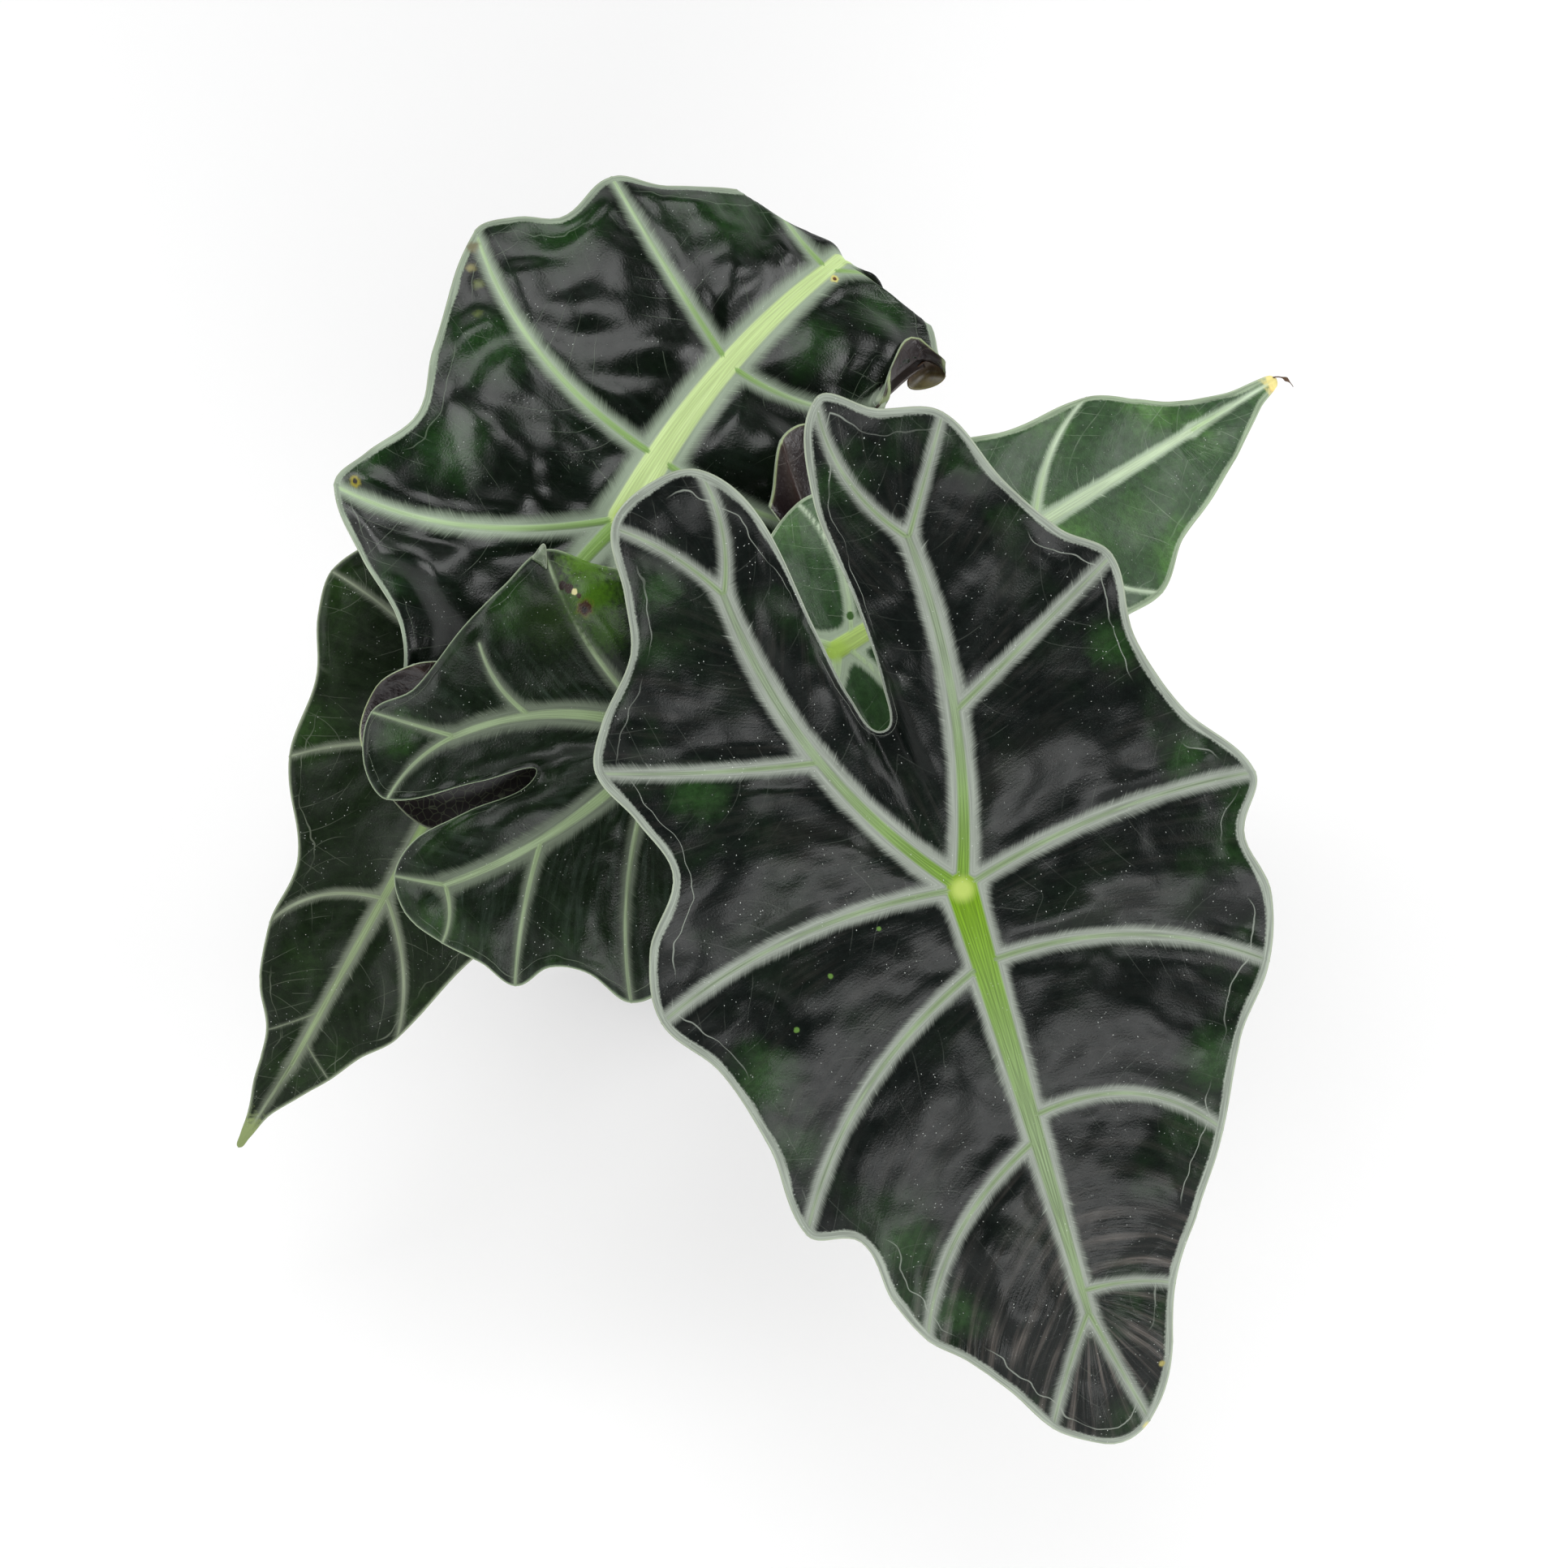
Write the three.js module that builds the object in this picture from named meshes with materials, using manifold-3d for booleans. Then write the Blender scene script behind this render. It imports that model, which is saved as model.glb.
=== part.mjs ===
// Potted alocasia: five scalloped, waved leaves on round stalks, rising from a short crown in a
// plain nursery pot filled with potting mix. Millimetres, +Z up, origin at the centre of the
// pot's flat foot.
import * as THREE from "three";
import { mergeVertices } from "three/addons/utils/BufferGeometryUtils.js";
import Module from "manifold-3d";

const wasm = await Module();
wasm.setup();

// ---------------------------------------------------------------- driving dimensions
const gap = 0.3; // clearance between touching pieces

const pot = {
  height: 106,
  footRadius: 45,
  neckRadius: 59.5, // outer wall just under the rim band
  rimRadius: 63.5,
  rimBand: 13,
  wall: 1.6,
  floor: 2.4,
  chamfer: 1.2,
  holes: 8,
  holeRadius: 4,
  holeRing: 31,
  segments: 48,
};

const soil = {
  top: pot.height - 12, // mean level of the potting mix
  lump: 1.3, // height of its lumps
  rings: 9,
  segments: 40,
};

const crown = { radius: 6.2, depth: 16, rise: 9, segments: 16 };

const stalk = {
  ring: 14, // distance of each stalk from the pot's axis at the soil
  depth: 14, // how far it stands in the soil
  baseRadius: 4.6,
  sides: 10,
  steps: 15,
};

const blade = {
  thickness: 1,
  ribDepth: 1.5, // veins stand out under the blade
  ribRise: 0.5, // and a little above it
  rows: 6,
  columns: [0, 0.12, 0.31, 0.5, 0.69, 0.88, 1],
  narrowColumns: [0, 0.33, 0.67, 1],
  narrowWidth: 34, // margin length under which a panel takes the narrow columns
};

const colours = {
  pot: 0x2b2b2c,
  soil: 0x3a2a1e,
  crown: 0x7a6a3e,
  stalk: 0x7f8f45,
};

// ---------------------------------------------------------------- the leaves
// Each leaf is laid out flat: origin where the stalk joins the blade, +y to the tip, +x to the
// right seen from above. The midrib and the two lobe veins (`right`, `left`) are strokes
// [end, bow] from the origin. Side veins follow clockwise from the tip as
// [axis, share of its length, crest on the margin, bow, weight, margin points to the next].
// Weight 1 is a full vein, 0 none. Bends, in order, roll the flat blade down about the line
// through [x, y] that faces `turn` degrees: [x, y, turn, length, angle, within]. A curl is
// kept within lines [x, y, turn, width], past each of which it grows over that width.
const leaves = [
  {
    name: "front",
    at: [55.9, -118, 184.2],
    heading: -69,
    pitch: 29,
    roll: 8,
    colour: 0x26352a,
    wave: 3.4,
    quilt: 2.6,
    stalkRadius: 3.3,
    stalkRoute: [[16, -30, 60], [40, -84, 120]],
    base: 290,
    midrib: [[3, 122], 0],
    right: [[35, -93], 8],
    left: [[-15.5, -92], -5],
    veins: [
      ["midrib", 1, [-4, 161], 0, 0.6, [[3, 164], [12, 161]]],
      ["midrib", 1, [22, 154], -1, 0.45, [[30, 137], [38, 126]]],
      ["midrib", 0.58, [47, 118], -7, 0.7, [[52, 103], [55, 84]]],
      ["midrib", 0.17, [69, 79], -8.5, 0.85, [[70, 51], [76, 28]]],
      ["midrib", 0, [88, 11], -7, 1, [[84, -9], [71, -27], [76, -43]]],
      ["right", 0.5, [83, -59], 1, 0.8, [[77, -71], [63, -86], [60, -101]]],
      ["right", 1, [58, -120], -2, 0.5, [[46, -127]]],
      ["right", 1, [31, -127], -3, 0.5, [[20, -111], [15, -76], [12, -57]]],
      ["midrib", 0, [6.5, -46], 0, 0, [[3, -57], [3, -80], [5, -110]]],
      ["left", 1, [-4, -135], 5, 0.5, [[-18, -127]]],
      ["left", 1, [-35, -121], 0, 0.5, [[-44, -98], [-54, -82]]],
      ["left", 0.5, [-66, -71], 0, 0.8, [[-64, -48], [-70, -27]]],
      ["midrib", 0, [-85, -3], 5, 1, [[-76, 11], [-78, 28]]],
      ["midrib", 0.17, [-73, 47], 8, 0.85, [[-58, 63]]],
      ["midrib", 0.53, [-47, 87], 9, 0.7, [[-33, 105]]],
      ["midrib", 0.95, [-22, 124], 2, 0.5, [[-12, 149]]],
    ],
    bends: [
      [8, 0, 0, 70, 10],
      [-8, 0, 180, 70, 10],
      [0, 20, 90, 140, 12],
      [0, -20, -90, 110, 12],
    ],
  },
  {
    name: "back",
    at: [-35.9, 4.8, 152.9],
    heading: 52,
    pitch: -9,
    roll: 14,
    colour: 0x1f3322,
    wave: 2.6,
    quilt: 4.2,
    stalkRadius: 3.2,
    stalkRoute: [[-15, 15, 55], [-23, 16, 108]],
    base: 130,
    midrib: [[3, 108], 5.5],
    right: [[36, -60], 4],
    left: [[2, -72], -3],
    veins: [
      ["midrib", 1, [9, 150], 0, 0.6, [[14, 137]]],
      ["midrib", 0.93, [24, 123], -2, 0.5, [[29, 111], [39, 101], [50, 91], [45, 80]]],
      ["midrib", 0.5, [37, 73], -5, 0.7, [[41, 63], [54, 55]]],
      ["midrib", 0.18, [60, 44], -6, 0.85, [[53, 30], [50, 15]]],
      ["midrib", 0, [52, -4], -6, 1, [[46, -16], [44, -26]]],
      ["right", 0.5, [49, -40], 0, 0.8, [[48, -56]]],
      ["right", 1, [46, -74], -1, 0.5, [[40, -79]]],
      ["right", 1, [32, -76], -2, 0.5, [[28, -62]]],
      ["midrib", 0, [21, -42], 0, 0, [[16, -51], [14, -63]]],
      ["left", 1, [18, -78], 2, 0.5, [[14, -92]]],
      ["left", 1, [0, -102], 0, 0.5, [[-14, -96], [-18, -82], [-31, -63], [-52, -56]]],
      ["midrib", 0, [-72, -45], 7, 1, [[-70, -31], [-64, -12], [-72, 5]]],
      ["midrib", 0.18, [-87, 44], 9, 0.85, [[-79, 54], [-68, 61]]],
      ["midrib", 0.5, [-66, 83], 2, 0.7, [[-50, 89]]],
      ["midrib", 0.9, [-28, 108], 2, 0.5, [[-12, 128]]],
    ],
    bends: [
      [34, 84, -13, 8, -170, [[40, 67, 90, 6], [40, 97, -90, 5]]],
      [34, 42, 4, 10, -165, [[40, 20, 90, 8], [40, 62, -90, 10]]],
      [-8, -79, -17, 8, -172, [[0, -46, -95, 12], [24, -60, 180, 5]]],
      [8, 0, 0, 60, 28],
      [-8, 0, 180, 60, 14],
      [0, 8, 90, 75, 16],
      [0, 101, 93, 26, 80],
      [0, -10, -90, 70, 38],
    ],
  },
  {
    name: "middle",
    at: [-23, -61.2, 153.2],
    heading: 11,
    pitch: -13,
    roll: 22,
    colour: 0x25382a,
    wave: 2.4,
    quilt: 2,
    stalkRadius: 2.8,
    stalkRoute: [[-11, -30, 50], [-13, -50, 108]],
    base: 235,
    midrib: [[4, 50], 0],
    right: [[24, -72], 5],
    left: [[-15, -58], -6],
    veins: [
      ["midrib", 1, [6, 68], 0, 0.6, [[12, 62]]],
      ["midrib", 0.95, [19, 58], 0, 0.45, [[26, 52]]],
      ["midrib", 0.6, [34, 46], -3, 0.7, [[43, 36]]],
      ["midrib", 0.25, [52, 22], -4, 0.85, [[60, 4], [66, -14]]],
      ["midrib", 0, [70, -31], -5, 1, [[58, -40], [54, -50]]],
      ["right", 0.6, [57, -62], -1, 0.8, [[48, -69]]],
      ["right", 1, [40, -79], 2, 0.5, [[30, -86]]],
      ["right", 1, [18, -87], 0, 0.5, [[10, -78], [6, -60]]],
      ["midrib", 0, [1, -39], 0, 0, [[-1, -54]]],
      ["left", 1, [-3, -83], -2, 0.5, [[-14, -86.5]]],
      ["left", 1, [-28, -81], 0, 0.5, [[-31, -66]]],
      ["left", 0.62, [-44, -49], 0, 0.8, [[-52, -34]]],
      ["midrib", 0, [-59, -21], 4, 1, [[-51, -8], [-45, 4]]],
      ["midrib", 0.25, [-38, 18], 5, 0.85, [[-31, 28]]],
      ["midrib", 0.6, [-23, 42], 3, 0.7, [[-17, 49]]],
      ["midrib", 0.95, [-8, 58], 0, 0.45, [[-1, 64]]],
    ],
    bends: [
      [6, 0, 0, 60, 10],
      [-6, 0, 180, 60, 10],
      [0, 4, 90, 32, 85],
      [0, -15, -90, 90, 12],
    ],
  },
  {
    name: "low",
    at: [-77.2, -28.7, 90.8],
    heading: -124,
    pitch: 31,
    roll: -12,
    colour: 0x22331f,
    wave: 2.2,
    quilt: 2,
    stalkRadius: 2.9,
    stalkRoute: [[-26, -4, 34], [-60, -16, 72]],
    base: 195,
    midrib: [[2, 126], 0],
    right: [[15, -50], 3],
    left: [[-10, -38], -3],
    veins: [
      ["midrib", 1, [5, 162], 0, 0.6, [[6.4, 158], [7.2, 149], [10, 138]]],
      ["midrib", 0.84, [14, 122], 0, 0.25, [[22, 108]]],
      ["midrib", 0.51, [28, 90], -5, 0.7, [[29, 66]]],
      ["midrib", 0.11, [46, 42], -4, 0.8, [[49, 16], [58, 0]]],
      ["midrib", 0, [61, -13], -4, 0.9, [[52, -30]]],
      ["right", 1, [34, -60], 0, 0.5, [[24, -68]]],
      ["right", 1, [9, -64], 0, 0.5, [[5, -46]]],
      ["midrib", 0, [1, -28], 0, 0, [[-1, -38]]],
      ["left", 1, [-5, -49], 0, 0.5, [[-13, -54]]],
      ["left", 1, [-24, -46], 0, 0.5, [[-38, -28]]],
      ["midrib", 0, [-50, -8], 4, 0.9, [[-45, 14]]],
      ["midrib", 0.11, [-46, 40], 5, 0.8, [[-31, 66]]],
      ["midrib", 0.5, [-22, 103], 4, 0.7, [[-15, 114]]],
      ["midrib", 0.93, [-10, 126], 0, 0.25, [[0.6, 145], [3.4, 157.5]]],
    ],
    bends: [
      [6, 0, 0, 60, 10],
      [-6, 0, 180, 60, 10],
      [0, 20, 90, 110, 12],
      [0, -15, -90, 90, 10],
    ],
  },
  {
    name: "right",
    at: [23.4, -36.9, 155.5],
    heading: 34,
    pitch: 0,
    roll: 19,
    colour: 0x2f4a33,
    wave: 2.4,
    quilt: 2,
    stalkRadius: 2.9,
    stalkRoute: [[17, -2, 50], [24, -20, 108]],
    base: 30,
    midrib: [[0, 126], 0],
    right: [[13, -18], 3],
    left: [[-9, -17], -3],
    veins: [
      ["midrib", 1, [0, 163], 0, 0.6, [[2, 161.8], [5.4, 150.5], [15, 132]]],
      ["midrib", 0.95, [20, 122], 0, 0.3, [[25, 106]]],
      ["midrib", 0.52, [35, 93], -5, 0.7, [[35, 74]]],
      ["midrib", 0.16, [43, 45], -5, 0.8, [[39, 25]]],
      ["midrib", 0.02, [43, 2], -5, 0.9, [[34, -14]]],
      ["right", 1, [22, -28], 0, 0.5, [[11, -29]]],
      ["midrib", 0, [1, -15], 0, 0, [[-7, -26]]],
      ["left", 1, [-15, -22], 0, 0.5, [[-29, -10]]],
      ["midrib", 0.02, [-41, 14], 3, 0.9, [[-37, 32]]],
      ["midrib", 0.16, [-35, 57], 5, 0.8, [[-27, 77]]],
      ["midrib", 0.54, [-24, 105], 4, 0.7, [[-16, 117]]],
      ["midrib", 0.95, [-10, 128], 1, 0.3, [[-4, 144], [-2, 161]]],
    ],
    bends: [
      [6, 0, 0, 50, 10],
      [-6, 0, 180, 50, 12],
      [0, 20, 90, 120, 16],
      [0, -6, -90, 30, 14],
    ],
  },
];

// ---------------------------------------------------------------- small geometry helpers
const radians = THREE.MathUtils.degToRad;

const mix = (p, q, t) => p + (q - p) * t;

const smooth = (t) => {
  const s = THREE.MathUtils.clamp(t, 0, 1);
  return s * s * (3 - 2 * s);
};

function geometryFrom(positions, triangles) {
  const geometry = new THREE.BufferGeometry();
  geometry.setAttribute("position", new THREE.Float32BufferAttribute(positions, 3));
  geometry.setIndex(triangles);
  return geometry;
}

function solidFrom(geometry) {
  const bare = geometry.clone();
  bare.deleteAttribute("normal");
  bare.deleteAttribute("uv");
  const merged = mergeVertices(bare, 1e-4);
  return new wasm.Manifold(new wasm.Mesh({
    numProp: 3,
    vertProperties: new Float32Array(merged.getAttribute("position").array),
    triVerts: new Uint32Array(merged.getIndex().array),
  }));
}

function geometryOf(solid) {
  const mesh = solid.getMesh();
  return geometryFrom(Array.from(mesh.vertProperties), Array.from(mesh.triVerts));
}

function upright(radius, bottom, top, segments) {
  const cylinder = new THREE.CylinderGeometry(radius, radius, top - bottom, segments);
  cylinder.rotateX(Math.PI / 2);
  cylinder.translate(0, 0, (top + bottom) / 2);
  return cylinder;
}

function turned(profile, segments) {
  const points = profile.map(([r, z]) => new THREE.Vector2(r, z));
  return new THREE.LatheGeometry(points, segments).rotateX(Math.PI / 2);
}

function named(name, geometry, colour, roughness) {
  const material = new THREE.MeshStandardMaterial({ color: colour, roughness, metalness: 0 });
  const mesh = new THREE.Mesh(geometry, material);
  mesh.name = name;
  return mesh;
}

// ---------------------------------------------------------------- pot, soil and crown
function innerRadius(z) {
  const share = (z - pot.floor) / (pot.height - pot.floor);
  return mix(pot.footRadius, pot.neckRadius, share) - pot.wall;
}

function potMesh() {
  const bandFoot = pot.height - pot.rimBand;
  const body = turned([
    [0, 0],
    [pot.footRadius - pot.chamfer, 0],
    [pot.footRadius, pot.chamfer],
    [pot.neckRadius, bandFoot],
    [pot.rimRadius - pot.chamfer, bandFoot],
    [pot.rimRadius, bandFoot + pot.chamfer],
    [pot.rimRadius, pot.height - pot.chamfer],
    [pot.rimRadius - pot.chamfer, pot.height],
    [innerRadius(pot.height), pot.height],
    [innerRadius(pot.floor), pot.floor],
    [0, pot.floor],
  ], pot.segments);
  let solid = solidFrom(body);
  for (let i = 0; i < pot.holes; i++) {
    const angle = (2 * Math.PI * (i + 0.5)) / pot.holes;
    const hole = upright(pot.holeRadius, -5, pot.floor + 5, 14);
    hole.translate(pot.holeRing * Math.cos(angle), pot.holeRing * Math.sin(angle), 0);
    solid = solid.subtract(solidFrom(hole));
  }
  return named("pot", geometryOf(solid), colours.pot, 0.45);
}

function soilLevel(radius, angle) {
  const lumps = Math.sin(radius * 0.42 + 2 * Math.cos(angle * 3))
    + 0.7 * Math.sin(5 * angle + radius * 0.23)
    + 0.5 * Math.cos(9 * angle - radius * 0.31);
  const calm = smooth((radius - stalk.ring - stalk.baseRadius) / 12);
  return soil.top + soil.lump * lumps * calm * 0.6;
}

function soilMesh() {
  const foot = pot.floor + gap;
  const edge = innerRadius(soil.top) - gap / Math.cos(Math.PI / soil.segments) - 0.6;
  const positions = [0, 0, soilLevel(0, 0)];
  const triangles = [];
  const ring = (k) => 1 + k * soil.segments;
  for (let k = 1; k <= soil.rings; k++) {
    for (let j = 0; j < soil.segments; j++) {
      const angle = (2 * Math.PI * j) / soil.segments;
      const radius = (edge * k) / soil.rings;
      const level = k < soil.rings ? soilLevel(radius, angle) : soil.top - 1;
      positions.push(radius * Math.cos(angle), radius * Math.sin(angle), level);
    }
  }
  const footRadius = innerRadius(foot) - gap - 0.6;
  for (let j = 0; j < soil.segments; j++) {
    const angle = (2 * Math.PI * j) / soil.segments;
    positions.push(footRadius * Math.cos(angle), footRadius * Math.sin(angle), foot);
  }
  positions.push(0, 0, foot);
  const last = positions.length / 3 - 1;
  for (let j = 0; j < soil.segments; j++) {
    const next = (j + 1) % soil.segments;
    triangles.push(0, ring(0) + j, ring(0) + next);
    for (let k = 0; k < soil.rings; k++) {
      const [a, b] = [ring(k) + j, ring(k) + next];
      const [c, d] = [ring(k + 1) + j, ring(k + 1) + next];
      triangles.push(a, c, d, a, d, b);
    }
    triangles.push(ring(soil.rings) + j, last, ring(soil.rings) + next);
  }
  let solid = solidFrom(geometryFrom(positions, triangles));
  const clear = soil.top + 20;
  const hole = upright(crown.radius + gap, soil.top - crown.depth - gap, clear, 24);
  solid = solid.subtract(solidFrom(hole));
  for (const leaf of leaves) {
    const [x, y] = stalkFoot(leaf);
    const socket = upright(stalk.baseRadius + 2 * gap, soil.top - stalk.depth - gap, clear, 20);
    solid = solid.subtract(solidFrom(socket.translate(x, y, 0)));
  }
  return named("soil", geometryOf(solid), colours.soil, 0.95);
}

function crownMesh() {
  const { radius, depth, rise } = crown;
  const profile = [
    [0, -depth], [radius * 0.7, -depth], [radius, -depth + 3], [radius, 0], [radius * 0.9, 2],
    [radius * 0.98, 3.5], [radius * 0.8, 6], [radius * 0.45, rise - 0.8], [0, rise],
  ];
  const stump = turned(profile, crown.segments);
  stump.translate(0, 0, soil.top);
  return named("crown", mergeVertices(geometryOf(solidFrom(stump))), colours.crown, 0.8);
}

// ---------------------------------------------------------------- leaf blades
// A curve from p to q whose middle stands `bow` to the left of the straight line.
function stroke(p, q, bow) {
  const [dx, dy] = [q[0] - p[0], q[1] - p[1]];
  const length = Math.hypot(dx, dy);
  const middle = [
    (p[0] + q[0]) / 2 - (2 * bow * dy) / length,
    (p[1] + q[1]) / 2 + (2 * bow * dx) / length,
  ];
  return (t) => [0, 1].map((i) => (1 - t) ** 2 * p[i] + 2 * t * (1 - t) * middle[i] + t * t * q[i]);
}

// The margin: a closed smooth curve through every crest and the points between them.
function marginOf(leaf) {
  const points = [];
  const crests = [];
  for (const [, , crest, , , between] of leaf.veins) {
    crests.push(points.length);
    points.push(crest, ...between);
  }
  const count = points.length;
  const at = (k) => points[(k + count) % count];
  const slope = (k) => {
    const [p, q] = [at(k - 1), at(k + 1)];
    const length = Math.hypot(q[0] - p[0], q[1] - p[1]);
    return [(q[0] - p[0]) / length, (q[1] - p[1]) / length];
  };
  const piece = (k, t) => {
    const [p, q, m, n] = [at(k), at(k + 1), slope(k), slope(k + 1)];
    const length = Math.hypot(q[0] - p[0], q[1] - p[1]);
    const [t2, t3] = [t * t, t * t * t];
    return [0, 1].map((i) => (2 * t3 - 3 * t2 + 1) * p[i] + (t3 - 2 * t2 + t) * length * m[i]
      + (3 * t2 - 2 * t3) * q[i] + (t3 - t2) * length * n[i]);
  };
  return { count, crests, piece };
}

// A path through fine samples, read by its share of the whole length.
function measured(samples) {
  const along = [0];
  for (let i = 1; i < samples.length; i++) {
    const [p, q] = [samples[i - 1], samples[i]];
    along.push(along[i - 1] + Math.hypot(q[0] - p[0], q[1] - p[1]));
  }
  const length = along[along.length - 1];
  const at = (share) => {
    const target = share * length;
    let i = 1;
    while (i < along.length - 1 && along[i] < target) i++;
    const t = (target - along[i - 1]) / Math.max(along[i] - along[i - 1], 1e-9);
    return [0, 1].map((k) => mix(samples[i - 1][k], samples[i][k], t));
  };
  return { length, at };
}

function bent(point, flat, [x, y, turn, length, angle, within = []]) {
  const [dx, dy] = [Math.cos(radians(turn)), Math.sin(radians(turn))];
  const ahead = (point[0] - x) * dx + (point[1] - y) * dy;
  if (ahead <= 0) return point;
  let grown = 1;
  for (const [fx, fy, way, width] of within) {
    const [ex, ey] = [Math.cos(radians(way)), Math.sin(radians(way))];
    grown *= smooth(((flat[0] - fx) * ex + (flat[1] - fy) * ey) / width);
  }
  const total = radians(angle) * grown;
  if (Math.abs(total) < 1e-6) return point;
  const curl = total / length;
  const tilt = Math.min(ahead, length) * curl;
  const rest = Math.max(ahead - length, 0);
  const reach = Math.sin(tilt) / curl + rest * Math.cos(tilt) + point[2] * Math.sin(tilt);
  const fall = (1 - Math.cos(tilt)) / curl + rest * Math.sin(tilt);
  return [
    point[0] + (reach - ahead) * dx,
    point[1] + (reach - ahead) * dy,
    point[2] * Math.cos(tilt) - fall,
  ];
}

// Veins start on nodes shared by both sides of an axis, so the two sides meet without a crack.
function axisNodes(leaf) {
  const axes = {};
  for (const name of ["midrib", "right", "left"]) {
    const [end, bow] = leaf[name];
    const shares = new Set([0, 1]);
    for (const [axis, share] of leaf.veins) if (axis === name) shares.add(share);
    const sorted = [...shares].sort((p, q) => p - q);
    const curve = stroke([0, 0], end, bow);
    const nodes = [];
    for (let i = 1; i < sorted.length; i++) {
      const span = (sorted[i] - sorted[i - 1]) * Math.hypot(...end);
      const parts = Math.max(1, Math.round(span / 13));
      for (let k = 0; k < parts; k++) nodes.push(mix(sorted[i - 1], sorted[i], k / parts));
    }
    nodes.push(1);
    axes[name] = { curve, nodes };
  }
  return axes;
}

// The nodes from one vein's root to the next one's, over the origin where the axis changes.
function innerNodes(axes, [fromAxis, fromShare], [toAxis, toShare]) {
  const pick = (axis, low, high) => axes[axis].nodes
    .filter((share) => share >= low - 1e-9 && share <= high + 1e-9)
    .map((share) => ({ point: axes[axis].curve(share), rib: 1 - 0.55 * share }));
  if (fromShare === 0 && toShare === 0) return pick("midrib", 0, 0);
  if (fromAxis === toAxis || fromShare === 0 || toShare === 0) {
    const axis = fromShare === 0 ? toAxis : fromAxis;
    const nodes = pick(axis, Math.min(fromShare, toShare), Math.max(fromShare, toShare));
    return fromShare > toShare ? nodes.reverse() : nodes;
  }
  return [...pick(fromAxis, 0, fromShare).reverse(), ...pick(toAxis, 0, toShare).slice(1)];
}

// The blade as flat nodes {point, lift, rib} and triangles, one panel between each two veins.
function bladeSheet(leaf) {
  const axes = axisNodes(leaf);
  const margin = marginOf(leaf);
  const nodes = [];
  const triangles = [];
  const rim = [];
  const known = new Map();
  const nodeAt = (point, lift, rib) => {
    const key = `${point[0].toFixed(3)},${point[1].toFixed(3)}`;
    if (!known.has(key)) {
      known.set(key, nodes.length);
      nodes.push({ point, lift, rib });
    }
    return known.get(key);
  };
  const rootOf = ([axis, share]) => axes[axis].curve(share);
  leaf.veins.forEach((vein, index) => {
    const next = leaf.veins[(index + 1) % leaf.veins.length];
    const [, , crest, bow, weight, between] = vein;
    const inner = innerNodes(axes, vein, next);
    const innerPath = measured(inner.map((node) => node.point));
    const near = stroke(rootOf(vein), crest, bow);
    const far = stroke(rootOf(next), next[2], next[3]);
    const samples = [];
    for (let k = 0; k <= between.length; k++) {
      for (let i = 0; i < 12; i++) samples.push(margin.piece(margin.crests[index] + k, i / 12));
    }
    samples.push(next[2]);
    const outer = measured(samples);
    const set = outer.length < blade.narrowWidth ? blade.narrowColumns : blade.columns;
    const count = Math.max(set.length - 1, inner.length - 1);
    const columns = count === set.length - 1 ? set : [...Array(count + 1).keys()].map((j) => j / count);
    const bay = leaf.wave * 1.7 * Math.min(1, outer.length / 60);
    const dip = -leaf.wave;
    const corners = [inner[0].point, inner[inner.length - 1].point, crest, next[2]];
    const grid = columns.map((a, j) => {
      const column = [];
      const pick = Math.round((j / count) * (inner.length - 1));
      for (let r = 0; r <= blade.rows; r++) {
        const b = r / blade.rows;
        if (r === 0) {
          column.push(nodeAt(inner[pick].point, 0, inner[pick].rib));
          continue;
        }
        const [p, q] = [innerPath.length > 1e-6 ? innerPath.at(a) : inner[0].point, outer.at(a)];
        const [s, t] = [near(b), far(b)];
        const point = [0, 1].map((i) => (1 - b) * p[i] + b * q[i] + (1 - a) * s[i] + a * t[i]
          - (1 - a) * (1 - b) * corners[0][i] - a * (1 - b) * corners[1][i]
          - (1 - a) * b * corners[2][i] - a * b * corners[3][i]);
        const size = Math.min(1, outer.length / 55);
        const lift = b * b * (dip + bay * Math.sin(Math.PI * a) ** 2)
          + leaf.quilt * size * Math.sin(Math.PI * a) * Math.sin(Math.PI * b);
        const own = a === 0 ? weight : a === 1 ? next[4] : 0;
        column.push(nodeAt(point, lift, own * (1 - 0.8 * b)));
      }
      return column;
    });
    for (let j = 0; j < count; j++) {
      for (let r = 0; r < blade.rows; r++) {
        const [p, q, s, t] = [grid[j][r], grid[j + 1][r], grid[j + 1][r + 1], grid[j][r + 1]];
        if (p !== q) triangles.push([p, q, s]);
        triangles.push([p, s, t]);
      }
      rim.push([grid[j][blade.rows], grid[j + 1][blade.rows]]);
    }
  });
  return { nodes, triangles, rim };
}

function bladeGeometry(leaf) {
  const { nodes, triangles, rim } = bladeSheet(leaf);
  const positions = [];
  const half = blade.thickness / 2;
  for (const side of [1, -1]) {
    for (const { point, lift, rib } of nodes) {
      const rise = side > 0 ? half + blade.ribRise * rib : -half - blade.ribDepth * rib;
      let place = [point[0], point[1], lift + rise];
      for (const bend of leaf.bends) place = bent(place, point, bend);
      positions.push(...place);
    }
  }
  const under = nodes.length;
  const faces = [];
  for (const [p, q, r] of triangles) {
    faces.push(p, q, r, p + under, r + under, q + under);
  }
  for (const [p, q] of rim) {
    faces.push(p, q, p + under, q, q + under, p + under);
  }
  return geometryFrom(positions, faces);
}

function place(object, leaf) {
  object.position.set(leaf.at[0], leaf.at[1], leaf.at[2] + pot.height);
  object.rotation.set(radians(-leaf.pitch), radians(leaf.roll), radians(leaf.heading - 90), "ZXY");
  object.updateMatrixWorld(true);
  return object;
}

// ---------------------------------------------------------------- leaf stalks
function stalkFoot(leaf) {
  const angle = radians(leaf.base);
  return [stalk.ring * Math.cos(angle), stalk.ring * Math.sin(angle)];
}

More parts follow.
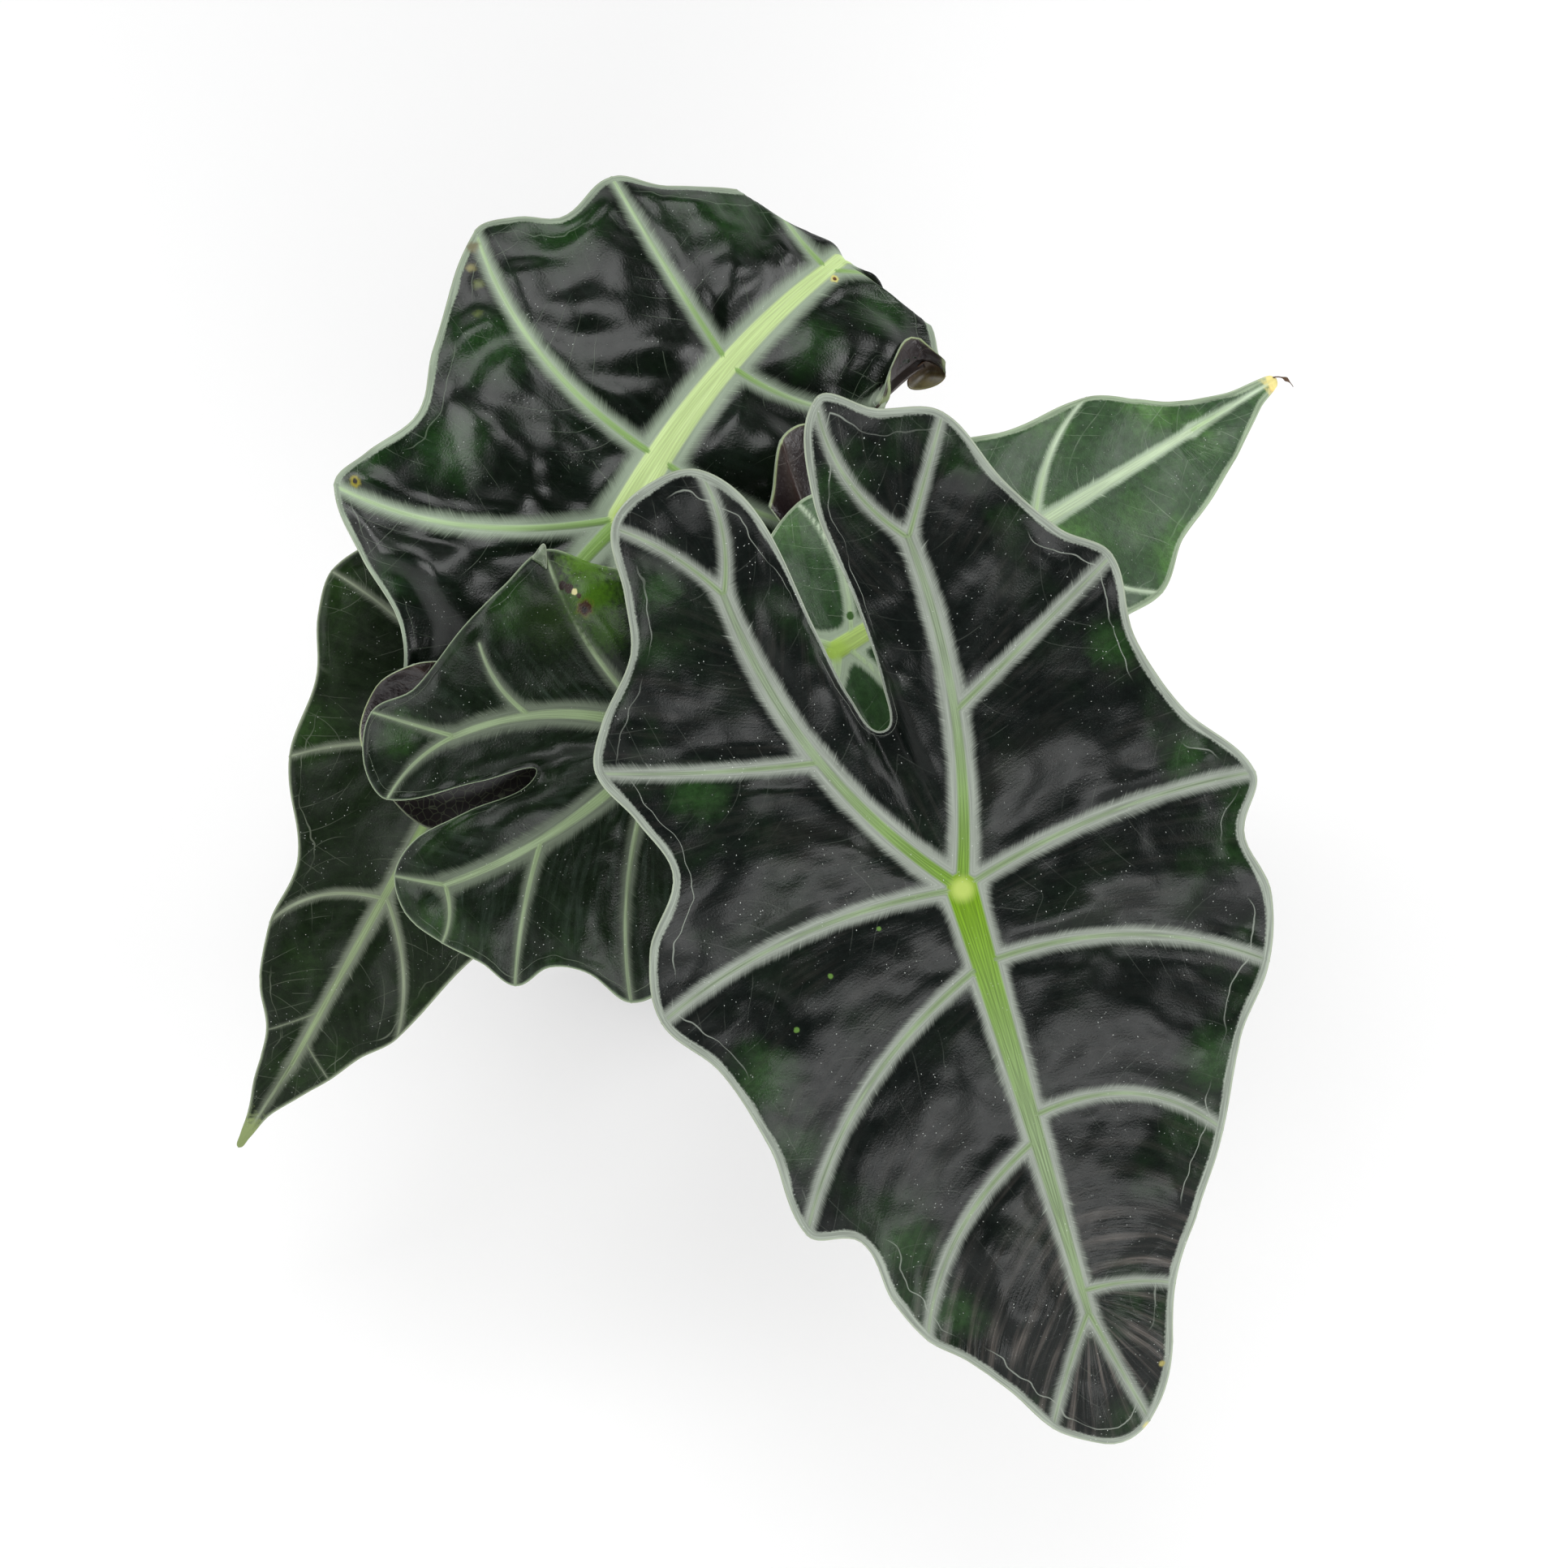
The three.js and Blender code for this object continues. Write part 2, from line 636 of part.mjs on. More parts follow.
function taperedTube(curve, radiusAt, sides, steps) {
  const frames = curve.computeFrenetFrames(steps, false);
  const positions = [];
  const triangles = [];
  for (let k = 0; k <= steps; k++) {
    const centre = curve.getPointAt(k / steps);
    const radius = radiusAt(k / steps);
    for (let j = 0; j < sides; j++) {
      const angle = (2 * Math.PI * j) / sides;
      const spot = centre.clone()
        .addScaledVector(frames.normals[k], radius * Math.cos(angle))
        .addScaledVector(frames.binormals[k], radius * Math.sin(angle));
      positions.push(spot.x, spot.y, spot.z);
    }
  }
  const [start, end] = [positions.length / 3, positions.length / 3 + 1];
  positions.push(...curve.getPointAt(0).toArray(), ...curve.getPointAt(1).toArray());
  for (let j = 0; j < sides; j++) {
    const next = (j + 1) % sides;
    triangles.push(start, next, j);
    for (let k = 0; k < steps; k++) {
      const [a, b] = [k * sides + j, k * sides + next];
      const [c, d] = [a + sides, b + sides];
      triangles.push(a, b, d, a, d, c);
    }
    triangles.push(end, steps * sides + j, steps * sides + next);
  }
  return geometryFrom(positions, triangles);
}

function stalkMesh(leaf, bladeMesh) {
  const [x, y] = stalkFoot(leaf);
  const under = blade.thickness / 2 + blade.ribDepth + gap;
  const join = bladeMesh.localToWorld(new THREE.Vector3(0, 0, -under));
  const approach = bladeMesh.localToWorld(new THREE.Vector3(0, 0, -under - 9));
  const route = leaf.stalkRoute.map(([px, py, pz]) => new THREE.Vector3(px, py, pz + pot.height));
  const points = [
    new THREE.Vector3(x, y, soil.top - stalk.depth),
    new THREE.Vector3(x, y, soil.top),
    ...route,
    approach,
    join,
  ];
  const curve = new THREE.CatmullRomCurve3(points, false, "centripetal");
  const radiusAt = (t) => mix(stalk.baseRadius, leaf.stalkRadius, smooth(t * 1.15));
  const tube = taperedTube(curve, radiusAt, stalk.sides, stalk.steps);
  return named(`stalk_${leaf.name}`, tube, colours.stalk, 0.5);
}

// ---------------------------------------------------------------- the plant
const plant = new THREE.Group();
plant.name = "potted_alocasia";
plant.add(potMesh(), soilMesh(), crownMesh());
for (const leaf of leaves) {
  const bladeMesh = place(named(`blade_${leaf.name}`, bladeGeometry(leaf), leaf.colour, 0.4), leaf);
  plant.add(bladeMesh, stalkMesh(leaf, bladeMesh));
}

export default plant;
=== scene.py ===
"""Potted alocasia: five waved leaves with pale veins on round stalks, in a nursery pot.

Leaves are drawn flat in millimetres, then bent, turned and placed. The pot's rim centre is the
point that leaf places are measured from.
"""

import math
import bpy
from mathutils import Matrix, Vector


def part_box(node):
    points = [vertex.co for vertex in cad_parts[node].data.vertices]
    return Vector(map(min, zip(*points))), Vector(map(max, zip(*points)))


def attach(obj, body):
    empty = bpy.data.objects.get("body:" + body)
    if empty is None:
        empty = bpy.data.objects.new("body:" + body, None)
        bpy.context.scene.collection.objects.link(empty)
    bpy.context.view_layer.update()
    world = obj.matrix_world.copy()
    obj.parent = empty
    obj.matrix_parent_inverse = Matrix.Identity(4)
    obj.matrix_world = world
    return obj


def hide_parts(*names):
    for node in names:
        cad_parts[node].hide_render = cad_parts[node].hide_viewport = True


bl_info = {
    "name": "Potted Alocasia",
    "version": (1, 0, 0),
    "blender": (4, 5, 0),
    "location": "View3D > Sidebar > Alocasia",
    "description": "Builds the leaves, stalks, crown, soil and pot of a potted alocasia",
    "category": "Object",
}

import bpy
import numpy as np
from mathutils import Matrix, Vector

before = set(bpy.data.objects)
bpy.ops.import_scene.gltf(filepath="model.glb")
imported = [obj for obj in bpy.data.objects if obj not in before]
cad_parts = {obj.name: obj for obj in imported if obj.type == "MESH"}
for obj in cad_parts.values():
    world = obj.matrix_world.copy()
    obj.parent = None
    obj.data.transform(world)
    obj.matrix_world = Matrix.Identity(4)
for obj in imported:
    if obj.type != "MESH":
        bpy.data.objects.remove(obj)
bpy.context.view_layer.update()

MM = 0.001
POT_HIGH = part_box("pot")[1]
POT_HEIGHT = POT_HIGH.z / MM
RIM_RADIUS = POT_HIGH.x / MM
SOIL_TOP = POT_HEIGHT - 12
STALK_RING = 14
STALK_DEPTH = 14
STALK_FOOT_RADIUS = 4.6
RIB_DEPTH = 1.5
HUB_DEPTH = 1.3
APPROACH_DEPTH = 11.3
ORIGIN = (0.0, 0.0)

# Each leaf lies flat: origin at the stalk, +y to the tip, +x to the right seen from above.
# turn is heading, pitch and roll. A side vein is (axis, share of its length, crest on the
# margin, bow, weight, margin points up to the next). A bend is (x, y, turn, length, angle,
# lines it is kept within).
LEAVES = {
    "front": {
        "at": (55.9, -118, 184.2),
        "turn": (-69, 29, 8),
        "wave": 3.4,
        "quilt": 2.6,
        "stalk": (3.3, 290, [(16, -30, 60), (40, -84, 120)]),
        "midrib": ((3, 122), 0),
        "right": ((35, -93), 8),
        "left": ((-15.5, -92), -5),
        "veins": [
            ("midrib", 1, (-4, 161), 0, 0.6, [(3, 164), (12, 161)]),
            ("midrib", 1, (22, 154), -1, 0.45, [(30, 137), (38, 126)]),
            ("midrib", 0.58, (47, 118), -7, 0.7, [(52, 103), (55, 84)]),
            ("midrib", 0.17, (69, 79), -8.5, 0.85, [(70, 51), (76, 28)]),
            ("midrib", 0, (88, 11), -7, 1, [(84, -9), (71, -27), (76, -43)]),
            ("right", 0.5, (83, -59), 1, 0.8, [(77, -71), (63, -86), (60, -101)]),
            ("right", 1, (58, -120), -2, 0.5, [(46, -127)]),
            ("right", 1, (31, -127), -3, 0.5, [(20, -111), (15, -76), (12, -57)]),
            ("midrib", 0, (6.5, -46), 0, 0, [(3, -57), (3, -80), (5, -110)]),
            ("left", 1, (-4, -135), 5, 0.5, [(-18, -127)]),
            ("left", 1, (-35, -121), 0, 0.5, [(-44, -98), (-54, -82)]),
            ("left", 0.5, (-66, -71), 0, 0.8, [(-64, -48), (-70, -27)]),
            ("midrib", 0, (-85, -3), 5, 1, [(-76, 11), (-78, 28)]),
            ("midrib", 0.17, (-73, 47), 8, 0.85, [(-58, 63)]),
            ("midrib", 0.53, (-47, 87), 9, 0.7, [(-33, 105)]),
            ("midrib", 0.95, (-22, 124), 2, 0.5, [(-12, 149)]),
        ],
        "bends": [
            (8, 0, 0, 70, 10),
            (-8, 0, 180, 70, 10),
            (0, 20, 90, 140, 12),
            (0, -20, -90, 110, 12),
        ],
    },
    "back": {
        "at": (-35.9, 4.8, 152.9),
        "turn": (52, -9, 14),
        "wave": 2.6,
        "quilt": 4.2,
        "stalk": (3.2, 130, [(-15, 15, 55), (-23, 16, 108)]),
        "midrib": ((3, 108), 5.5),
        "right": ((36, -60), 4),
        "left": ((2, -72), -3),
        "veins": [
            ("midrib", 1, (9, 150), 0, 0.6, [(14, 137)]),
            ("midrib", 0.93, (24, 123), -2, 0.5, [(29, 111), (39, 101), (50, 91), (45, 80)]),
            ("midrib", 0.5, (37, 73), -5, 0.7, [(41, 63), (54, 55)]),
            ("midrib", 0.18, (60, 44), -6, 0.85, [(53, 30), (50, 15)]),
            ("midrib", 0, (52, -4), -6, 1, [(46, -16), (44, -26)]),
            ("right", 0.5, (49, -40), 0, 0.8, [(48, -56)]),
            ("right", 1, (46, -74), -1, 0.5, [(40, -79)]),
            ("right", 1, (32, -76), -2, 0.5, [(28, -62)]),
            ("midrib", 0, (21, -42), 0, 0, [(16, -51), (14, -63)]),
            ("left", 1, (18, -78), 2, 0.5, [(14, -92)]),
            ("left", 1, (0, -102), 0, 0.5, [(-14, -96), (-18, -82), (-31, -63), (-52, -56)]),
            ("midrib", 0, (-72, -45), 7, 1, [(-70, -31), (-64, -12), (-72, 5)]),
            ("midrib", 0.18, (-87, 44), 9, 0.85, [(-79, 54), (-68, 61)]),
            ("midrib", 0.5, (-66, 83), 2, 0.7, [(-50, 89)]),
            ("midrib", 0.9, (-28, 108), 2, 0.5, [(-12, 128)]),
        ],
        "bends": [
            (34, 84, -13, 8, -170, [(40, 67, 90, 6), (40, 97, -90, 5)]),
            (34, 42, 4, 10, -165, [(40, 20, 90, 8), (40, 62, -90, 10)]),
            (-8, -79, -17, 8, -172, [(0, -46, -95, 12), (24, -60, 180, 5)]),
            (8, 0, 0, 60, 28),
            (-8, 0, 180, 60, 14),
            (0, 8, 90, 75, 16),
            (0, 101, 93, 26, 80),
            (0, -10, -90, 70, 38),
        ],
    },
    "middle": {
        "at": (-23, -61.2, 153.2),
        "turn": (11, -13, 22),
        "wave": 2.4,
        "quilt": 2,
        "stalk": (2.8, 235, [(-11, -30, 50), (-13, -50, 108)]),
        "midrib": ((4, 50), 0),
        "right": ((24, -72), 5),
        "left": ((-15, -58), -6),
        "veins": [
            ("midrib", 1, (6, 68), 0, 0.6, [(12, 62)]),
            ("midrib", 0.95, (19, 58), 0, 0.45, [(26, 52)]),
            ("midrib", 0.6, (34, 46), -3, 0.7, [(43, 36)]),
            ("midrib", 0.25, (52, 22), -4, 0.85, [(60, 4), (66, -14)]),
            ("midrib", 0, (70, -31), -5, 1, [(58, -40), (54, -50)]),
            ("right", 0.6, (57, -62), -1, 0.8, [(48, -69)]),
            ("right", 1, (40, -79), 2, 0.5, [(30, -86)]),
            ("right", 1, (18, -87), 0, 0.5, [(10, -78), (6, -60)]),
            ("midrib", 0, (1, -39), 0, 0, [(-1, -54)]),
            ("left", 1, (-3, -83), -2, 0.5, [(-14, -86.5)]),
            ("left", 1, (-28, -81), 0, 0.5, [(-31, -66)]),
            ("left", 0.62, (-44, -49), 0, 0.8, [(-52, -34)]),
            ("midrib", 0, (-59, -21), 4, 1, [(-51, -8), (-45, 4)]),
            ("midrib", 0.25, (-38, 18), 5, 0.85, [(-31, 28)]),
            ("midrib", 0.6, (-23, 42), 3, 0.7, [(-17, 49)]),
            ("midrib", 0.95, (-8, 58), 0, 0.45, [(-1, 64)]),
        ],
        "bends": [
            (6, 0, 0, 60, 10),
            (-6, 0, 180, 60, 10),
            (0, 4, 90, 32, 85),
            (0, -15, -90, 90, 12),
        ],
    },
    "low": {
        "at": (-77.2, -28.7, 90.8),
        "turn": (-124, 31, -12),
        "wave": 2.2,
        "quilt": 2,
        "stalk": (2.9, 195, [(-26, -4, 34), (-60, -16, 72)]),
        "midrib": ((2, 126), 0),
        "right": ((15, -50), 3),
        "left": ((-10, -38), -3),
        "veins": [
            ("midrib", 1, (5, 162), 0, 0.6, [(6.4, 158), (7.2, 149), (10, 138)]),
            ("midrib", 0.84, (14, 122), 0, 0.25, [(22, 108)]),
            ("midrib", 0.51, (28, 90), -5, 0.7, [(29, 66)]),
            ("midrib", 0.11, (46, 42), -4, 0.8, [(49, 16), (58, 0)]),
            ("midrib", 0, (61, -13), -4, 0.9, [(52, -30)]),
            ("right", 1, (34, -60), 0, 0.5, [(24, -68)]),
            ("right", 1, (9, -64), 0, 0.5, [(5, -46)]),
            ("midrib", 0, (1, -28), 0, 0, [(-1, -38)]),
            ("left", 1, (-5, -49), 0, 0.5, [(-13, -54)]),
            ("left", 1, (-24, -46), 0, 0.5, [(-38, -28)]),
            ("midrib", 0, (-50, -8), 4, 0.9, [(-45, 14)]),
            ("midrib", 0.11, (-46, 40), 5, 0.8, [(-31, 66)]),
            ("midrib", 0.5, (-22, 103), 4, 0.7, [(-15, 114)]),
            ("midrib", 0.93, (-10, 126), 0, 0.25, [(0.6, 145), (3.4, 157.5)]),
        ],
        "bends": [
            (6, 0, 0, 60, 10),
            (-6, 0, 180, 60, 10),
            (0, 20, 90, 110, 12),
            (0, -15, -90, 90, 10),
        ],
    },
    "right": {
        "at": (23.4, -36.9, 155.5),
        "turn": (34, 0, 19),
        "wave": 2.4,
        "quilt": 2,
        "stalk": (2.9, 30, [(17, -2, 50), (24, -20, 108)]),
        "midrib": ((0, 126), 0),
        "right": ((13, -18), 3),
        "left": ((-9, -17), -3),
        "veins": [
            ("midrib", 1, (0, 163), 0, 0.6, [(2, 161.8), (5.4, 150.5), (15, 132)]),
            ("midrib", 0.95, (20, 122), 0, 0.3, [(25, 106)]),
            ("midrib", 0.52, (35, 93), -5, 0.7, [(35, 74)]),
            ("midrib", 0.16, (43, 45), -5, 0.8, [(39, 25)]),
            ("midrib", 0.02, (43, 2), -5, 0.9, [(34, -14)]),
            ("right", 1, (22, -28), 0, 0.5, [(11, -29)]),
            ("midrib", 0, (1, -15), 0, 0, [(-7, -26)]),
            ("left", 1, (-15, -22), 0, 0.5, [(-29, -10)]),
            ("midrib", 0.02, (-41, 14), 3, 0.9, [(-37, 32)]),
            ("midrib", 0.16, (-35, 57), 5, 0.8, [(-27, 77)]),
            ("midrib", 0.54, (-24, 105), 4, 0.7, [(-16, 117)]),
            ("midrib", 0.95, (-10, 128), 1, 0.3, [(-4, 144), (-2, 161)]),
        ],
        "bends": [
            (6, 0, 0, 50, 10),
            (-6, 0, 180, 50, 12),
            (0, 20, 90, 120, 16),
            (0, -6, -90, 30, 14),
        ],
    },
}

# The finish of each leaf. Lengths are millimetres, colours are sRGB from 0 to 255. midrib is the
# half width of its core and with its pale bands, at the stalk and at the tip. taper is how wide a
# side vein's bands end against their start, soft how far they fade out. greens are how green the
# cores of the midrib, the lobe veins and the side veins are, at their roots and ends. drawn moves
# a painted side vein: number, (root, crest, bow). A fresh patch is (place on the flat leaf,
# radius), a spot is (place, radius, colour, share of the radius in which it fades).
# painted_sheen is a painted sheen: pale streaks mixed into the blade's colour in place of light, given
# as ((near, far) from the tip over which it fades, strength, colour).
LOOKS = {
    "front": {
        "blade": (10, 15, 13),
        "fresh": (31, 57, 25),
        "patches": [((-51, 66), 11), ((58, -46), 9), ((66, 32), 11), ((44, 88), 11), ((37, 112), 8),
                    ((-58, -49), 8), ((-68, -14), 8), ((51, -100), 7)],
        "band": (140, 147, 137),
        "core": (122, 136, 112),
        "lime": (98, 136, 4),
        "vein_green": (98, 132, 40),
        "hub": (166, 184, 92),
        "greens": ((1, 0.2), (1, 0), (0.3, 0)),
        "rim": (138, 146, 135),
        "rim_width": 2.4,
        "ribs": 1.0,
        "midrib": ((4.2, 6.5), (0.9, 2.9)),
        "taper": 0.76,
        "soft": 1.9,
        "teeth": 1.1,
        "streaks": 0.16,
        "swell": 2.0,
        "pucker": 1.5,
        "grain": 1.35,
        "pleats": 0.8,
        "painted_sheen": ((30, 95), 0.7, (116, 109, 103)),
        "net": 0.7,
        "veinlets": 0.09,
        "roughness": 0.3,
        "shine": 0.2,
        "tip": ((-3, 162.5), 2, (206, 196, 128), 0.8),
        "spots": [((-11.5, 143.5), 1.3, (150, 142, 84), 0.7), ((40, 11), 0.9, (84, 116, 54), 0.5),
                  ((53, 22), 0.9, (84, 116, 54), 0.5), ((24, 3), 0.8, (84, 116, 54), 0.5)],
    },
    "back": {
        "blade": (6, 14, 7),
        "fresh": (26, 56, 20),
        "patches": [((-68, 60), 16), ((-50, -14), 12), ((-70, -32), 10), ((11, 74), 10),
                    ((-30, 92), 14), ((-60, 16), 14), ((20, 98), 10)],
        "band": (154, 170, 148),
        "core": (158, 182, 140),
        "lime": (196, 220, 150),
        "vein_green": (122, 162, 70),
        "hub": (186, 214, 110),
        "greens": ((1, 1), (0.9, 0.6), (0.8, 0)),
        "rim": (136, 150, 130),
        "rim_width": 2.2,
        "ribs": 1.25,
        "midrib": ((4.4, 8.2), (2.0, 5.0)),
        "taper": 0.6,
        "soft": 2.9,
        "teeth": 1.3,
        "streaks": 0.07,
        "drawn": {1: (0.9, (26, 120), -1)},
        "swell": 3.4,
        "pucker": 1.7,
        "grain": 1.45,
        "pleats": 0.5,
        "painted_sheen": ((200, 400), 0.12, (58, 76, 66)),
        "net": 0.2,
        "veinlets": 0.16,
        "roughness": 0.24,
        "shine": 0.36,
        "coat": 0.06,
        "under": (42, 33, 32),
        "under_rib": (62, 48, 44),
        "under_roughness": 0.2,
        "tip": ((9, 150), 5, (150, 170, 90), 0.5),
        "spots": [((-84, 39), 3, (112, 110, 84), 0.8), ((-80, 33), 2.2, (116, 112, 62), 0.9),
                  ((-75, 30), 2.4, (84, 94, 44), 0.9), ((-69, 22), 2.2, (74, 88, 36), 0.9),
                  ((-67, -39.5), 2.4, (132, 124, 30), 0.6), ((-67, -39.5), 1.1, (34, 28, 18), 0.5),
                  ((4, 96), 1.5, (214, 206, 120), 0.5), ((4, 96), 0.8, (96, 60, 30), 0.5)],
    },
    "middle": {
        "blade": (13, 23, 12),
        "fresh": (32, 58, 22),
        "patches": [((-46, -34), 9), ((34, -76), 8), ((-20, -74), 8)],
        "band": (96, 106, 90),
        "core": (126, 142, 112),
        "lime": (116, 144, 78),
        "vein_green": (112, 138, 80),
        "hub": (150, 178, 104),
        "greens": ((1, 0.5), (0.6, 0.1), (0.3, 0)),
        "rim": (98, 114, 90),
        "rim_width": 1.0,
        "ribs": 1.0,
        "midrib": ((2.4, 4.1), (0.8, 1.8)),
        "taper": 0.36,
        "soft": 2.1,
        "teeth": 1.3,
        "streaks": 0.14,
        "drawn": {11: (0.64, (-38, -45), 2)},
        "swell": 1.4,
        "pucker": 0.9,
        "grain": 1.1,
        "pleats": 0.3,
        "painted_sheen": ((200, 400), 0.25, (70, 84, 74)),
        "net": 0.7,
        "veinlets": 0.1,
        "roughness": 0.28,
        "shine": 0.2,
        "tip": ((6, 68), 4, (170, 170, 90), 0.6),
        "spots": [((-40, -22), 15, (30, 46, 20), 1), ((-54, -9), 12, (82, 122, 26), 1),
                  ((-43, -10), 12, (62, 98, 22), 1), ((-32, -9), 9, (42, 70, 18), 1),
                  ((-47.6, -18), 1.5, (30, 18, 12), 0.4), ((-46.2, -16.4), 1.7, (38, 24, 14), 0.4),
                  ((-44.8, -15), 1.1, (200, 194, 140), 0.4), ((-43.4, -14), 1.0, (50, 34, 18), 0.5),
                  # The spots at (-39.6, -13.2) are a hole ringed by its torn, yellowed edge. Its
                  # near-black middle is painted shade, standing for the view through the hole.
                  ((-39.6, -13.2), 3.4, (96, 92, 34), 0.8), ((-39.6, -13.2), 2.5, (50, 32, 18), 0.4),
                  ((-39.2, -13.4), 1.1, (20, 13, 9), 0.5)],
    },
    "low": {
        "blade": (15, 26, 11),
        "fresh": (32, 54, 20),
        "patches": [((45, 32), 12), ((57, -10), 9)],
        "band": (108, 116, 100),
        "core": (126, 136, 114),
        "lime": (118, 146, 80),
        "vein_green": (110, 134, 80),
        "hub": (140, 184, 92),
        "greens": ((1, 0.3), (0.5, 0), (0.3, 0)),
        "rim": (92, 102, 82),
        "rim_width": 1.0,
        "ribs": 0.84,
        "midrib": ((1.6, 3.6), (0.7, 2.3)),
        "taper": 0.45,
        "soft": 1.9,
        "teeth": 1.2,
        "streaks": 0.12,
        "swell": 1.2,
        "pucker": 0.6,
        "grain": 1.1,
        "pleats": 0.2,
        "painted_sheen": ((200, 400), 0.15, (62, 74, 56)),
        "net": 0.5,
        "veinlets": 0.3,
        "roughness": 0.34,
        "shine": 0.12,
        "tip": ((5.2, 161), 15, (126, 140, 92), 0.5),
        "spots": [((5, 162), 1.6, (84, 64, 40), 0.5)],
    },
    "right": {
        "blade": (42, 70, 38),
        "fresh": (70, 114, 46),
        "patches": [((10, 66), 20), ((30, 104), 12), ((-14, 120), 10), ((30, 60), 12)],
        "band": (168, 186, 160),
        "core": (184, 202, 174),
        "lime": (176, 206, 110),
        "vein_green": (150, 186, 104),
        "hub": (168, 204, 84),
        "greens": ((1, 0.1), (0.5, 0.1), (0.5, 0)),
        "rim": (140, 158, 130),
        "rim_width": 1.8,
        "ribs": 0.88,
        "midrib": ((2.8, 4.9), (0.8, 1.7)),
        "taper": 0.25,
        "soft": 1.2,
        "teeth": 0.9,
        "streaks": 0.08,
        "least": -0.9,
        "drawn": {4: (0.02, (43, 2), 5), 8: (0.04, (-41, 14), -4)},
        "swell": 0.8,
        "pucker": 0.4,
        "grain": 1.2,
        "pleats": 0.3,
        "painted_sheen": ((200, 400), 0.2, (92, 102, 96)),
        "net": 0.15,
        "veinlets": 0.2,
        "roughness": 0.38,
        "shine": 0.4,
        "tip": ((0, 164), 7.5, (232, 218, 140), 0.6),
        "spots": [((-6, 8.5), 1.4, (60, 100, 40), 0.4), ((6, 10), 1.2, (56, 92, 38), 0.4),
                  ((2, 160), 2.2, (240, 190, 90), 1)],
    },
}

# Small curled pieces of margin. Each hangs on a held edge between two places, in millimetres from
# the centre of the pot's rim. bow moves the middle of that edge, out leads on to the free edge,
# ends is the share of that width left at both ends, peak sharpens the middle and hollow is its
# depth. Colours are of the held edge, the free edge and its outline.
CURLS = {
    "back_curl": {
        "held": ((36, 46, 148.5), (49, 60.5, 143.5)), "bow": (0, 8, 3.5), "out": (1.5, -9, -5),
        "ends": 0.3, "peak": 1, "hollow": 2.5,
        "colours": ((30, 24, 20), (44, 35, 32), (60, 50, 42)),
    },
    "back_curl_end": {
        "held": ((44.5, 53.5, 142), (55.5, 57.5, 140.5)), "bow": (0, 4, 2), "out": (0.5, -7, -4),
        "ends": 0.2, "peak": 0.8, "hollow": 2,
        "colours": ((70, 44, 24), (84, 78, 44), (112, 106, 66)),
    },
    "back_lobe_fold": {
        "held": ((-106, -46, 116), (-55, -50, 123)), "bow": (-3, -11, -4.5), "out": (-4, -12, -9.5),
        "ends": 0.65, "peak": 1, "hollow": 3,
        # The held and free edges are painted near-black: painted shade inside the fold.
        "colours": ((15, 12, 12), (24, 19, 19), (112, 122, 96)),
    },
    "middle_curl": {
        "held": ((-60.5, -13, 164), (-56.5, -16, 163.5)), "bow": (0, 0, 0), "out": (1.5, 4.5, 3.5),
        "ends": 0.1, "peak": 1.4, "hollow": 0.8,
        "colours": ((58, 76, 46), (124, 136, 116), (152, 162, 140)),
    },
}
# The dry thread at the right leaf's tip, in the same millimetres.
THREAD_START = (150, 59.5, 132)
THREAD_LENGTH = 7
THREAD_HEADING = -24
THREAD_RISE = 1.4
THREAD_BOW = 0.8
CURL_HALF_THICKNESS = 0.2

# The pot, in millimetres.
POT_FOOT_RADIUS = 45
POT_SHOULDER_RADIUS = 59.5
POT_BAND_HEIGHT = 13
POT_FLOOR_TOP = 2.4
POT_FLOOR_FOOT = 0.8
HOLE_COUNT = 8
HOLE_RING = 31
HOLE_RADIUS = 4

# Crumbs on the soil: seed, smallest and largest in metres, length and flatness as factors.
PEAT_DENSITY = 90000
BARK_SHAPE = (3, 0.0006, 0.0017, 1.9, 0.5)
PEAT_SHAPE = (11, 0.0004, 0.0011, 1.2, 0.9)
PERLITE_SHAPE = (5, 0.0006, 0.0012, 1.1, 0.9)

# Camera: looks down along +Y. The aim is measured from the centre of the rim.
CAMERA_ELEVATION = 68
CAMERA_DISTANCE = 1361
CAMERA_RIGHT = 9.1
CAMERA_UP = -12.9
CAMERA_LENS = 100

# Each softbox: heading and height in degrees, width and height in metres, watts.
STUDIO_LIGHTS = [
    ("back_light", 110, 68, (1.5, 1.1), 18),
    ("front_light", -78, 30, (1.9, 0.8), 26),
    ("right_light", 8, 38, (1.2, 0.9), 16),
    ("left_light", 178, 34, (1.2, 0.9), 15),
]


# ------------------------------------------------------------------ sizes and colours to change
def length_field(name, description, default, low, high):
    """A length setting; its sizes are given in millimetres."""
    return bpy.props.FloatProperty(
        name=name, description=description, default=default * MM,
        min=low * MM, max=high * MM, precision=5, unit="LENGTH")


def colour_field(name, description, default):
    return bpy.props.FloatVectorProperty(
        name=name, description=description, default=default, size=3, min=0, max=1, subtype="COLOR")


